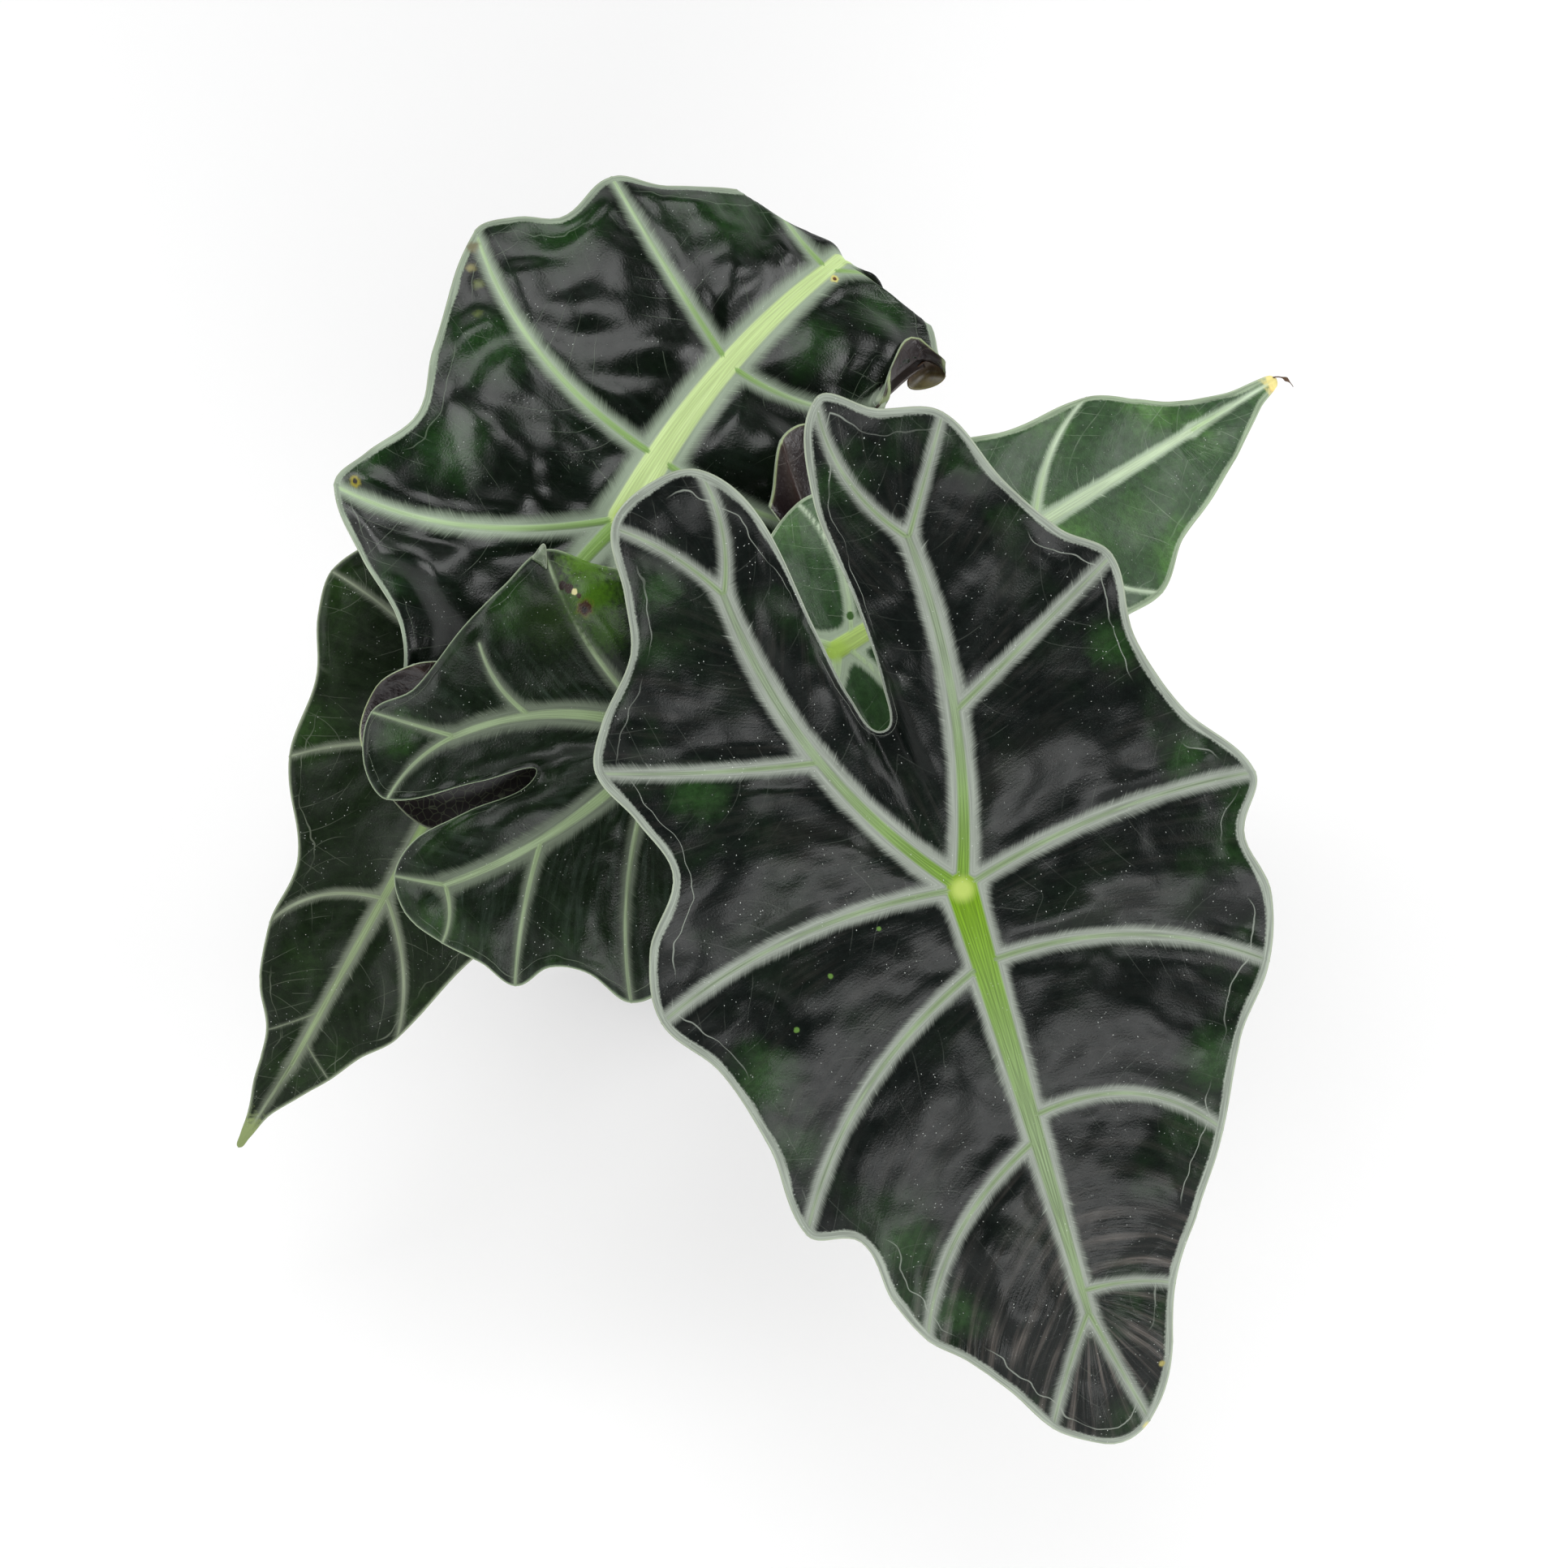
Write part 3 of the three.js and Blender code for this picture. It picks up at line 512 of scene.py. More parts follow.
class AlocasiaSettings(bpy.types.PropertyGroup):
    blade_thickness: length_field("Blade Thickness", "Thickness of a leaf blade", 0.8, 0.3, 2)
    rib_rise: length_field("Rib Rise", "How far a main vein stands above its blade", 0.7, 0, 2)
    column_width: length_field(
        "Column Width", "Spacing of mesh columns along a leaf's margin", 1.5, 0.8, 6)
    blade_rows: bpy.props.IntProperty(
        name="Blade Rows", description="Mesh rows from a vein to the margin",
        default=56, min=12, max=90)
    stalk_colour: colour_field(
        "Stalk Colour", "Main colour of the leaf stalks", (0.20, 0.27, 0.075))
    underside_colour: colour_field(
        "Underside Colour", "Colour of the leaf undersides", (0.017, 0.0105, 0.0115))
    pot_colour: colour_field("Pot Colour", "Colour of the nursery pot", (0.022, 0.022, 0.024))
    wall: length_field("Pot Wall", "Thickness of the pot's wall", 1.6, 0.8, 4)
    soil_colour: colour_field(
        "Soil Colour", "Colour of the damp potting mix", (0.036, 0.022, 0.014))
    bark_density: bpy.props.FloatProperty(
        name="Bark Density", description="Bark chips on each square metre of soil",
        default=52000, min=0, max=200000)
    perlite_density: bpy.props.FloatProperty(
        name="Perlite Density", description="Perlite grains on each square metre of soil",
        default=16000, min=0, max=100000)
    floor_colour: colour_field("Floor Colour", "Colour of the floor", (0.93, 0.93, 0.93))


def settings():
    return bpy.context.scene.alocasia


# ------------------------------------------------------------------ small helpers
def linear(colour):
    """sRGB from 0 to 255 as linear RGBA."""
    shares = [c / 255 for c in colour]
    return tuple(c / 12.92 if c <= 0.04045 else ((c + 0.055) / 1.055) ** 2.4 for c in shares) + (1,)


def smooth(t):
    t = np.clip(t, 0, 1)
    return t * t * (3 - 2 * t)


def facing(degrees):
    return np.array([math.cos(math.radians(degrees)), math.sin(math.radians(degrees))])


def eased(count, pull):
    """Shares from 0 to 1, closer together near both ends."""
    t = np.arange(count + 1) / count
    return t - pull * np.sin(2 * math.pi * t) / (2 * math.pi)


def mesh_object(name, points, faces, materials, face_materials=None):
    mesh = bpy.data.meshes.new(name)
    mesh.from_pydata((np.asarray(points) * MM).tolist(), [], faces)
    for material in materials:
        mesh.materials.append(material)
    if face_materials is not None:
        mesh.polygons.foreach_set("material_index", face_materials)
    mesh.polygons.foreach_set("use_smooth", [True] * len(mesh.polygons))
    mesh.update()
    piece = bpy.data.objects.new(name, mesh)
    bpy.context.scene.collection.objects.link(piece)
    return piece


def grid_faces(rows, columns, base=0, closed=False, flipped=False):
    """Squares of a grid of points; a closed grid joins its last column to its first."""
    width = columns if closed else columns + 1
    faces = []
    for i in range(rows):
        low, high = base + i * width, base + (i + 1) * width
        for j in range(columns):
            n = (j + 1) % width
            square = [low + j, low + n, high + n, high + j]
            faces.append([square[k] for k in (0, 3, 2, 1)] if flipped else square)
    return faces


def ring_angles(sides):
    return 2 * math.pi * np.arange(sides) / sides


def add_attribute(mesh, name, values):
    attribute = mesh.attributes.new(name, "FLOAT", "POINT")
    attribute.data.foreach_set("value", np.asarray(values, np.float32))


def settle(piece, slot, *replaced):
    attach(piece, "root")
    if replaced:
        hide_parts(*replaced)
    return piece


# ------------------------------------------------------------------ node trees
class Tree:
    """Short calls for building one shader or geometry node tree."""

    def __init__(self, tree):
        self.tree = tree

    def add(self, kind, inputs=None, **values):
        node = self.tree.nodes.new(kind)
        for key, value in values.items():
            setattr(node, key, value)
        for key, value in (inputs or {}).items():
            self.feed(node.inputs[key], value)
        return node

    def feed(self, socket, value):
        if isinstance(value, bpy.types.NodeSocket):
            self.tree.links.new(value, socket)
        else:
            socket.default_value = value

    def math(self, operation, *values, clamp=False):
        node = self.add("ShaderNodeMath", operation=operation, use_clamp=clamp)
        for socket, value in zip(node.inputs, values):
            self.feed(socket, value)
        return node.outputs[0]

    def times(self, first, second):
        return self.math("MULTIPLY", first, second)

    def fused(self, value, factor, offset):
        """value * factor + offset"""
        return self.math("MULTIPLY_ADD", value, factor, offset)

    def steps(self, value, low, high, start=0.0, end=1.0):
        node = self.add("ShaderNodeMapRange", interpolation_type="SMOOTHSTEP")
        for socket, given in zip(node.inputs, (value, low, high, start, end)):
            self.feed(socket, given)
        return node.outputs[0]

    def mix(self, share, first, second, blend="MIX"):
        node = self.add("ShaderNodeMix", {0: share, 6: first, 7: second},
                        data_type="RGBA", blend_type=blend)
        return node.outputs[2]

    def noise(self, vector, scale, detail=2.0, roughness=0.5):
        node = self.add("ShaderNodeTexNoise", {
            "Vector": vector, "Scale": scale, "Detail": detail, "Roughness": roughness})
        return node.outputs["Fac"]

    def vector(self, x, y, z=0.0):
        return self.add("ShaderNodeCombineXYZ", {"X": x, "Y": y, "Z": z}).outputs[0]

    def attribute(self, name):
        return self.add("ShaderNodeAttribute", attribute_name=name).outputs["Fac"]

    def distance(self, vector, point):
        node = self.add("ShaderNodeVectorMath", {0: vector, 1: point}, operation="DISTANCE")
        return node.outputs["Value"]

    def scaled(self, vector, factor):
        node = self.add("ShaderNodeVectorMath", {0: vector, "Scale": factor}, operation="SCALE")
        return node.outputs["Vector"]

    def group(self, group, **inputs):
        node = self.add("ShaderNodeGroup")
        node.node_tree = group
        for key, value in inputs.items():
            self.feed(node.inputs[key.replace("_", " ").title()], value)
        return node.outputs

    def bump(self, height, distance, strength):
        node = self.add("ShaderNodeBump", {
            "Height": height, "Distance": distance, "Strength": strength})
        return node.outputs["Normal"]

    def object_place(self):
        return self.add("ShaderNodeTexCoord").outputs["Object"]


def shader_group(name, inputs, outputs):
    """A new node group and its tree, group input sockets and group output node."""
    group = bpy.data.node_groups.new(name, "ShaderNodeTree")
    for key, (kind, default) in inputs.items():
        socket = group.interface.new_socket(name=key, in_out="INPUT", socket_type=kind)
        if default is not None:
            socket.default_value = default
    for key, kind in outputs.items():
        group.interface.new_socket(name=key, in_out="OUTPUT", socket_type=kind)
    tree = Tree(group)
    return group, tree, tree.add("NodeGroupInput").outputs, tree.add("NodeGroupOutput").inputs


FLOAT, VECTOR = "NodeSocketFloat", "NodeSocketVector"


def vein_band_group():
    """Core and soft, fine-toothed band of a vein, from the distance past their mean edges."""
    group, tree, given, out = shader_group(
        "vein_band",
        {"Band Gap": (FLOAT, 0), "Core Gap": (FLOAT, 0), "Run": (FLOAT, 0), "Teeth": (FLOAT, 1),
         "Soft": (FLOAT, 1)},
        {"Core": FLOAT, "Band": FLOAT, "Streak": FLOAT})
    slant = tree.fused(given["Band Gap"], -0.7, given["Run"])
    across = tree.times(given["Core Gap"], 0.1)
    fine = tree.noise(tree.vector(tree.times(slant, 2.7), across), 1.0, 2.0, 0.6)
    long = tree.noise(tree.vector(tree.times(slant, 0.8), across, 7.0), 1.0, 1.0)
    wide = tree.noise(tree.vector(tree.times(given["Run"], 0.09), across, 3.0), 1.0, 1.0)
    push = tree.fused(fine, 1.7, -0.85)
    push = tree.fused(tree.steps(long, 0.64, 0.82), 1.2, push)
    push = tree.fused(wide, 1.0, tree.math("SUBTRACT", push, 0.5))
    past = tree.math("SUBTRACT", given["Band Gap"], tree.times(push, given["Teeth"]))
    inside = tree.times(given["Soft"], -0.85)
    tree.feed(out["Band"], tree.steps(past, inside, tree.times(given["Soft"], 0.5), 1.0, 0.0))
    tree.feed(out["Core"], tree.steps(given["Core Gap"], -0.5, 0.4, 1.0, 0.0))
    lengthwise = tree.vector(tree.times(given["Run"], 0.05),
                             tree.times(given["Core Gap"], 2.4))
    tree.feed(out["Streak"], tree.noise(lengthwise, 1.0, 2.0, 0.6))
    return group


def margin_band_group():
    """Pale band along the margin: lengthwise streaks, a thin outer line and an uneven inner edge."""
    group, tree, given, out = shader_group(
        "margin_band",
        {"Edge Gap": (FLOAT, 5), "Width": (FLOAT, 2), "Place": (VECTOR, None)},
        {"Band": FLOAT, "Line": FLOAT, "Streak": FLOAT, "Inner": FLOAT})
    teeth = tree.noise(given["Place"], 1.5, 2.0, 0.6)
    wide = tree.noise(given["Place"], 0.07, 1.0)
    reach = tree.fused(teeth, 0.8, tree.fused(wide, 1.2, -1.0))
    reach = tree.times(given["Width"], tree.fused(reach, 0.6, 1.0))
    past = tree.math("SUBTRACT", given["Edge Gap"], reach)
    tree.feed(out["Band"], tree.steps(past, -0.5, 0.3, 1.0, 0.0))
    tree.feed(out["Line"], tree.steps(given["Edge Gap"], 0.3, 0.6, 1.0, 0.0))
    split = tree.add("ShaderNodeSeparateXYZ", {0: tree.scaled(given["Place"], 0.07)}).outputs
    rows = tree.vector(split["X"], split["Y"], tree.times(given["Edge Gap"], 2.2))
    tree.feed(out["Streak"], tree.noise(rows, 1.0, 2.0, 0.6))
    sway = tree.fused(tree.noise(given["Place"], 0.07, 2.0), 9.0, -1.0)
    off = tree.math("SUBTRACT", given["Edge Gap"], tree.math("ADD", sway, given["Width"]))
    thin = tree.steps(tree.math("ABSOLUTE", off), 0.06, 0.26, 1.0, 0.0)
    seen = tree.steps(tree.noise(given["Place"], 0.04, 2.0), 0.42, 0.58)
    tree.feed(out["Inner"], tree.times(thin, seen))
    return group


def veinlet_group():
    """Hair-thin side veins: some leave a vein at right angles, some run in from the margin."""
    group, tree, given, out = shader_group(
        "veinlets",
        {"Gap": (FLOAT, 0), "Run": (FLOAT, 0), "Column": (FLOAT, 0), "Edge Gap": (FLOAT, 9),
         "Place": (VECTOR, None), "Spacing": (FLOAT, 8)},
        {"Line": FLOAT})
    wander = tree.noise(given["Place"], 0.03, 0.0)
    curl = tree.times(tree.math("POWER", tree.math("MAXIMUM", given["Gap"], 0.0), 1.4), -0.22)
    lines = []
    for start, sway, key, near, far in (
            (tree.math("ADD", given["Run"], curl), 12.0, "Gap", 7.0, 20.0),
            (given["Column"], 14.0, "Edge Gap", 8.0, 24.0)):
        place = tree.fused(wander, sway, start)
        share = tree.math("FRACT", tree.math("DIVIDE", place, given["Spacing"]))
        away = tree.math("ABSOLUTE", tree.math("SUBTRACT", share, 0.5))
        line = tree.steps(away, 0.004, 0.026, 1.0, 0.0)
        lines.append(tree.times(line, tree.steps(given[key], near, far, 1.0, 0.0)))
    patchy = tree.steps(tree.noise(given["Place"], 0.055, 2.0), 0.42, 0.6)
    tree.feed(out["Line"], tree.times(tree.math("MAXIMUM", *lines), patchy))
    return group


def speck_group():
    """Sparse dust specks, drawn out a little, in loose clusters."""
    group, tree, given, out = shader_group(
        "specks", {"Place": (VECTOR, None), "Scale": (FLOAT, 1)}, {"Specks": FLOAT})
    layers = []
    for stretch in ((1.0, 0.5, 1.0), (0.6, 1.0, 1.0)):
        drawn = tree.add("ShaderNodeVectorMath", {0: given["Place"], 1: stretch}, operation="MULTIPLY")
        cells = tree.add("ShaderNodeTexVoronoi", {
            "Vector": drawn.outputs["Vector"], "Scale": given["Scale"]})
        dot = tree.steps(cells.outputs["Distance"], 0.05, 0.14, 1.0, 0.0)
        chosen = tree.steps(cells.outputs["Color"], 0.6, 0.7)
        layers.append(tree.times(dot, chosen))
    cluster = tree.steps(tree.noise(given["Place"], 0.05, 3.0), 0.44, 0.64, 0.12, 1.0)
    tree.feed(out["Specks"], tree.times(tree.math("MAXIMUM", *layers), cluster))
    return group


def grain_group():
    """Soft blotches and fine grain that several plain finishes share."""
    group, tree, given, out = shader_group(
        "grain", {"Place": (VECTOR, None), "Coarse": (FLOAT, 60), "Fine": (FLOAT, 900)},
        {"Blotch": FLOAT, "Grain": FLOAT})
    tree.feed(out["Blotch"], tree.noise(given["Place"], given["Coarse"], 4.0, 0.6))
    tree.feed(out["Grain"], tree.noise(given["Place"], given["Fine"], 2.0, 0.6))
    return group


GROUP_MAKERS = {
    "vein_band": vein_band_group,
    "margin_band": margin_band_group,
    "veinlets": veinlet_group,
    "specks": speck_group,
    "grain": grain_group,
}


def shared(name):
    return bpy.data.node_groups.get(name) or GROUP_MAKERS[name]()


def new_material(name):
    material = bpy.data.materials.new(name)
    material.use_nodes = True
    tree = Tree(material.node_tree)
    shader = material.node_tree.nodes["Principled BSDF"]
    return material, tree, shader.inputs


# ------------------------------------------------------------------ leaf finishes
def flat_place(tree):
    """The flat leaf's own millimetres, kept in its UV map."""
    uv = tree.add("ShaderNodeUVMap", uv_map="flat").outputs["UV"]
    return tree.scaled(uv, 1000.0)


def leaf_masks(tree, look, place, face):
    """The vein band, margin band and veinlet masks of one face of a leaf; face is 1 for the upper."""
    band, core, run = (tree.attribute(key) for key in ("band_gap", "core_gap", "vein_run"))
    edge, column = tree.attribute("edge_gap"), tree.attribute("column")
    vein = tree.group(shared("vein_band"), band_gap=band, core_gap=core, run=run,
                      teeth=look["teeth"] * face, soft=look["soft"])
    rim = tree.group(shared("margin_band"), edge_gap=edge, width=look["rim_width"] * face, place=place)
    fine = tree.group(shared("veinlets"), gap=band, run=run, column=column, edge_gap=edge, place=place)
    return vein, rim, fine["Line"]


def tinted(tree, colour, low, high, noise):
    """Darkens and lightens a colour between two factors by a noise."""
    shade = tree.steps(noise, 0.3, 0.7, low, high)
    grey = tree.add("ShaderNodeCombineColor", {0: shade, 1: shade, 2: shade}).outputs[0]
    return tree.mix(1.0, colour, grey, "MULTIPLY")


def spotted(tree, colour, look, place):
    """Adds the leaf's spots and its dry tip to a colour."""
    for (x, y), radius, tint, fade in (*look["spots"], look["tip"]):
        ragged = tree.fused(tree.noise(place, 0.7, 3.0), radius * 0.9, radius * -0.45)
        away = tree.math("ADD", tree.distance(place, (x, y, 0)), ragged)
        share = tree.steps(away, radius * (1 - fade), radius, 1.0, 0.0)
        colour = tree.mix(share, colour, linear(tint))
    return colour


def mottled(tree, look, place, edge):
    """How fresh green the blade is: soft clouds near the margin and the leaf's own patches."""
    broad = tree.noise(place, 0.03, 3.0, 0.6)
    near_edge = tree.steps(edge, 3.0, 30.0, 1.0, 0.0)
    clouds = tree.steps(broad, 0.46, 0.68)
    share = tree.times(clouds, tree.fused(near_edge, 0.5, 0.1))
    blur = tree.fused(tree.noise(place, 0.12, 3.0, 0.6), 12.0, -6.0)
    for (x, y), radius in look["patches"]:
        away = tree.math("ADD", tree.distance(place, (x, y, 0)), blur)
        share = tree.math("MAXIMUM", share, tree.steps(away, radius * 0.1, radius * 1.3, 0.85, 0.0))
    return share


def painted_sheen_streaks(tree, look, place, edge, column):
    """Streaks of sheen painted into the blade's colour as a painted highlight, which run out from the
    veins, and where they show.
    """
    (near, far), strength, _ = look["painted_sheen"]
    along = tree.times(edge, 0.02)
    wide = tree.noise(tree.vector(tree.times(column, 0.3), along), 1.0, 2.0)
    hair_place = tree.vector(tree.times(column, 2.2), tree.times(edge, 0.09))
    hair = tree.noise(hair_place, 1.0, 2.0)
    fine = tree.steps(hair, 0.3, 0.66, 0.35, 1.0)
    streak = tree.times(tree.steps(wide, 0.44, 0.66), fine)
    cloud = tree.steps(tree.noise(place, 0.035, 2.0), 0.4, 0.6, 0.25, 1.0)
    tip = tree.distance(place, (*look["tip"][0], 0))
    shown = tree.times(cloud, tree.steps(tip, near, far, strength, strength * 0.08))
    return tree.times(streak, shown)


def blade_colour(tree, look, place, edge, column, lines):
    """The leaf between its veins: green clouds, painted sheen streaks and hair-thin lines."""
    blade = tree.mix(mottled(tree, look, place, edge), linear(look["blade"]), linear(look["fresh"]))
    blade = tinted(tree, blade, 0.75, 1.3, tree.noise(place, 0.45, 3.0, 0.7))
    # Mixes in the painted sheen: pale streaks painted into the colour where light would shine on the
    # blade.
    blade = tree.mix(painted_sheen_streaks(tree, look, place, edge, column), blade, linear(look["painted_sheen"][2]))
    return tree.mix(lines, blade, linear(look["band"]))


def vein_colours(tree, look, place, streak):
    """The pale band beside a vein, and its core, which is greener near the hub."""
    low, high = 1 - look["streaks"], 1 + 0.8 * look["streaks"]
    band = tinted(tree, linear(look["band"]), low, high, streak)
    midrib = tree.attribute("midrib_share")
    greenery = tree.mix(midrib, linear(look["vein_green"]), linear(look["lime"]))
    core = tree.mix(tree.attribute("green"), linear(look["core"]), greenery)
    core = tinted(tree, core, low * low, high * high, streak)
    from_hub = tree.distance(place, (0, 0, 0))
    return band, tree.mix(tree.steps(from_hub, 1.2, 4.8, 0.92, 0.0), core, linear(look["hub"]))


def upper_relief(tree, look, place, edge, column, pale, lines):
    """Pleats that fade towards the tip, a leathery grain and sunk hair-thin lines."""
    across = tree.times(column, 0.42)
    pleats = tree.noise(tree.vector(across, tree.times(edge, 0.05)), 1.0, 3.0, 0.6)
    from_tip = tree.distance(place, (*look["tip"][0], 0))
    depth = tree.steps(from_tip, 35.0, 85.0, look["pleats"], look["pleats"] * 0.12)
    leather = tree.noise(place, 1.6, 2.0, 0.6)
    relief = tree.fused(pleats, depth, tree.times(leather, 0.1))
    relief = tree.fused(lines, -0.12, relief)
    calm = tree.fused(pale, -0.8, 1.0)
    return tree.bump(tree.times(relief, calm), 0.001, 0.7)


def upper_material(name, look):
    material, tree, shader = new_material(f"{name}_upper")
    place = flat_place(tree)
    edge, column = tree.attribute("edge_gap"), tree.attribute("column")
    vein, rim, fine = leaf_masks(tree, look, place, 1.0)
    lines = tree.math("MAXIMUM", tree.times(fine, look["veinlets"]),
                      tree.times(rim["Inner"], look["net"]))
    blade = blade_colour(tree, look, place, edge, column, lines)
    band, core = vein_colours(tree, look, place, vein["Streak"])
    edging = tinted(tree, linear(look["rim"]), 0.72, 1.25, rim["Streak"])
    colour = tree.mix(tree.times(vein["Band"], 0.96), blade, band)
    colour = tree.mix(vein["Core"], colour, core)
    colour = tree.mix(tree.times(rim["Band"], 0.95), colour, edging)
    colour = tree.mix(tree.times(rim["Line"], 0.4), colour, linear((180, 192, 164)))
    colour = spotted(tree, colour, look, place)
    dust = tree.group(shared("specks"), place=place, scale=1.1)["Specks"]
    colour = tree.mix(tree.times(dust, 0.9), colour, linear((206, 212, 206)))
    tree.feed(shader["Base Color"], colour)

    pale = tree.math("MAXIMUM", vein["Band"], rim["Band"])
    rough = tree.fused(tree.noise(place, 0.25, 3.0), 0.2, look["roughness"] - 0.1)
    rough = tree.math("MULTIPLY_ADD", pale, 0.25, rough, clamp=True)
    tree.feed(shader["Roughness"], rough)
    tree.feed(shader["Normal"], upper_relief(tree, look, place, edge, column, pale, lines))
    shader["Coat Weight"].default_value = look.get("coat", 0.0)
    shader["Coat Roughness"].default_value = 0.14
    shader["Specular IOR Level"].default_value = look["shine"]
    return material


def under_material(name, look):
    material, tree, shader = new_material(f"{name}_underside")
    place = flat_place(tree)
    vein, rim, fine = leaf_masks(tree, look, place, 0.4)
    purple = (*settings().underside_colour, 1)
    broad = tree.noise(place, 0.06, 4.0, 0.65)
    colour = tree.mix(tree.steps(broad, 0.45, 0.75), purple, linear(look.get("under", (62, 48, 46))))
    colour = tree.mix(tree.times(fine, 0.35), colour, linear((112, 96, 84)))
    from_hub = tree.distance(place, (0, 0, 0))
    rib_root, rib_end = look.get("under_rib", (146, 160, 92)), look.get("under_rib", (112, 118, 82))
    rib = tree.mix(tree.steps(from_hub, 10.0, 120.0), linear(rib_root), linear(rib_end))
    colour = tree.mix(tree.times(vein["Band"], 0.3), colour, linear((84, 72, 62)))
    colour = tree.mix(vein["Core"], colour, rib)
    colour = tree.mix(tree.times(rim["Band"], 0.3), colour, linear((112, 108, 84)))
    colour = tree.mix(rim["Line"], colour, linear((158, 172, 128)))
    tree.feed(shader["Base Color"], colour)
    gloss = look.get("under_roughness", 0.36)
    tree.feed(shader["Roughness"], tree.fused(broad, 0.2, gloss))
    relief = tree.fused(fine, 0.4, tree.noise(place, 0.8, 3.0))
    tree.feed(shader["Normal"], tree.bump(relief, 0.0004, 0.7))
    return material


# ------------------------------------------------------------------ leaf blades
def stroke(start, end, bow):
    """A curve from start to end whose middle stands `bow` to the left of the straight line."""
    p, q = np.array(start, float), np.array(end, float)
    d = q - p
    lean = 2 * bow / math.hypot(*d)
    middle = (p + q) / 2 + lean * np.array([-d[1], d[0]])

    def at(t):
        t = np.atleast_1d(t)[:, None]
        return (1 - t) ** 2 * p + 2 * t * (1 - t) * middle + t * t * q

    return at


def measured(samples):
    """Length of a path through samples, and a function from shares of it to points."""
    along = np.concatenate([[0], np.cumsum(np.linalg.norm(np.diff(samples, axis=0), axis=1))])
    length = max(along[-1], 1e-9)

    def at(shares):
        where = np.asarray(shares) * length
        return np.stack([np.interp(where, along, samples[:, k]) for k in (0, 1)], -1)

    return along[-1], at


def margin_runs(leaf, steps=14):
    """Samples of the margin from each crest to the next."""
    points, crests = [], []
    for _, _, crest, _, _, between in leaf["veins"]:
        crests.append(len(points))
        points += [crest, *between]
    points = np.array(points, float)
    slope = np.roll(points, -1, 0) - np.roll(points, 1, 0)
    slope /= np.linalg.norm(slope, axis=1, keepdims=True)
    t = np.arange(steps)[:, None] / steps
    runs = []
    for index, first in enumerate(crests):
        last = crests[(index + 1) % len(crests)] or len(points)
        samples = []
        for k in range(first, last):
            n = (k + 1) % len(points)
            p, q = points[k], points[n]
            length = np.linalg.norm(q - p)
            samples.append((2 * t**3 - 3 * t**2 + 1) * p + (t**3 - 2 * t**2 + t) * length * slope[k]
                           + (3 * t**2 - 2 * t**3) * q + (t**3 - t**2) * length * slope[n])
        samples.append(points[last % len(points)][None, :])
        runs.append(np.concatenate(samples))
    return runs


def axis_shares(leaf, spacing=2.2):
    """Where the nodes lie on each main axis, with one at the root of every side vein."""
    shares = {}
    for name in ("midrib", "right", "left"):
        roots = sorted({0, 1} | {vein[1] for vein in leaf["veins"] if vein[0] == name})
        size = math.hypot(*leaf[name][0])
        nodes = [0.0]
        for low, high in zip(roots, roots[1:]):
            parts = max(1, round((high - low) * size / spacing))
            nodes += list(low + (high - low) * np.arange(1, parts + 1) / parts)
        shares[name] = np.array(nodes)
    return shares


def inner_path(leaf, shares, vein, following):
    """Points of the axis from one side vein's root to the next one's."""
    (axis, start), (to_axis, end) = vein[:2], following[:2]
    curves = {name: stroke(ORIGIN, *leaf[name]) for name in shares}

    def pick(name, low, high):
        chosen = shares[name][(shares[name] >= low - 1e-9) & (shares[name] <= high + 1e-9)]
        return curves[name](chosen)

    if start == 0 and end == 0:
        return pick("midrib", 0, 0)
    if axis == to_axis or start == 0 or end == 0:
        name = to_axis if start == 0 else axis
        points = pick(name, min(start, end), max(start, end))
        return points[::-1] if start > end else points
    return np.concatenate([pick(axis, 0, start)[::-1], pick(to_axis, 0, end)[1:]])


def blade_patch(leaf, vein, following, inner, margin):
    """The blade between two side veins: a grid of points, its lift and its place on the margin."""
    rows = settings().blade_rows
    b = eased(rows, 0.62)[None, :, None]
    inner_length, inner_at = measured(inner)
    outer_length, outer_at = measured(margin)
    wanted = math.ceil(outer_length / (settings().column_width / MM))
    count = max(wanted, math.ceil(1.8 * (len(inner) - 1)), 4)
    a = eased(count, 0.72)
    picks = np.rint(a * (len(inner) - 1)).astype(int)
    near = stroke(inner[0], vein[2], vein[3])(b.ravel())[None]
    far = stroke(inner[-1], following[2], following[3])(b.ravel())[None]
    p = (inner_at(a) if inner_length > 1e-6 else np.repeat(inner[:1], count + 1, 0))[:, None]
    q = outer_at(a)[:, None]
    a = a[:, None, None]
    grid = ((1 - b) * p + b * q + (1 - a) * near + a * far
            - (1 - a) * (1 - b) * inner[0] - a * (1 - b) * inner[-1]
            - (1 - a) * b * np.array(vein[2]) - a * b * np.array(following[2]))
    grid[:, 0] = inner[picks]
    bay = leaf["wave"] * 1.7 * min(1, outer_length / 60)
    swell = leaf["quilt"] * min(1, outer_length / 55)
    lift = (b * b * (-leaf["wave"] + bay * np.sin(math.pi * a) ** 2)
            + swell * np.sin(math.pi * a) * np.sin(math.pi * b))[..., 0]
    column = np.repeat((np.minimum(a, 1 - a) * outer_length).ravel(), rows + 1)
    return grid, lift, column


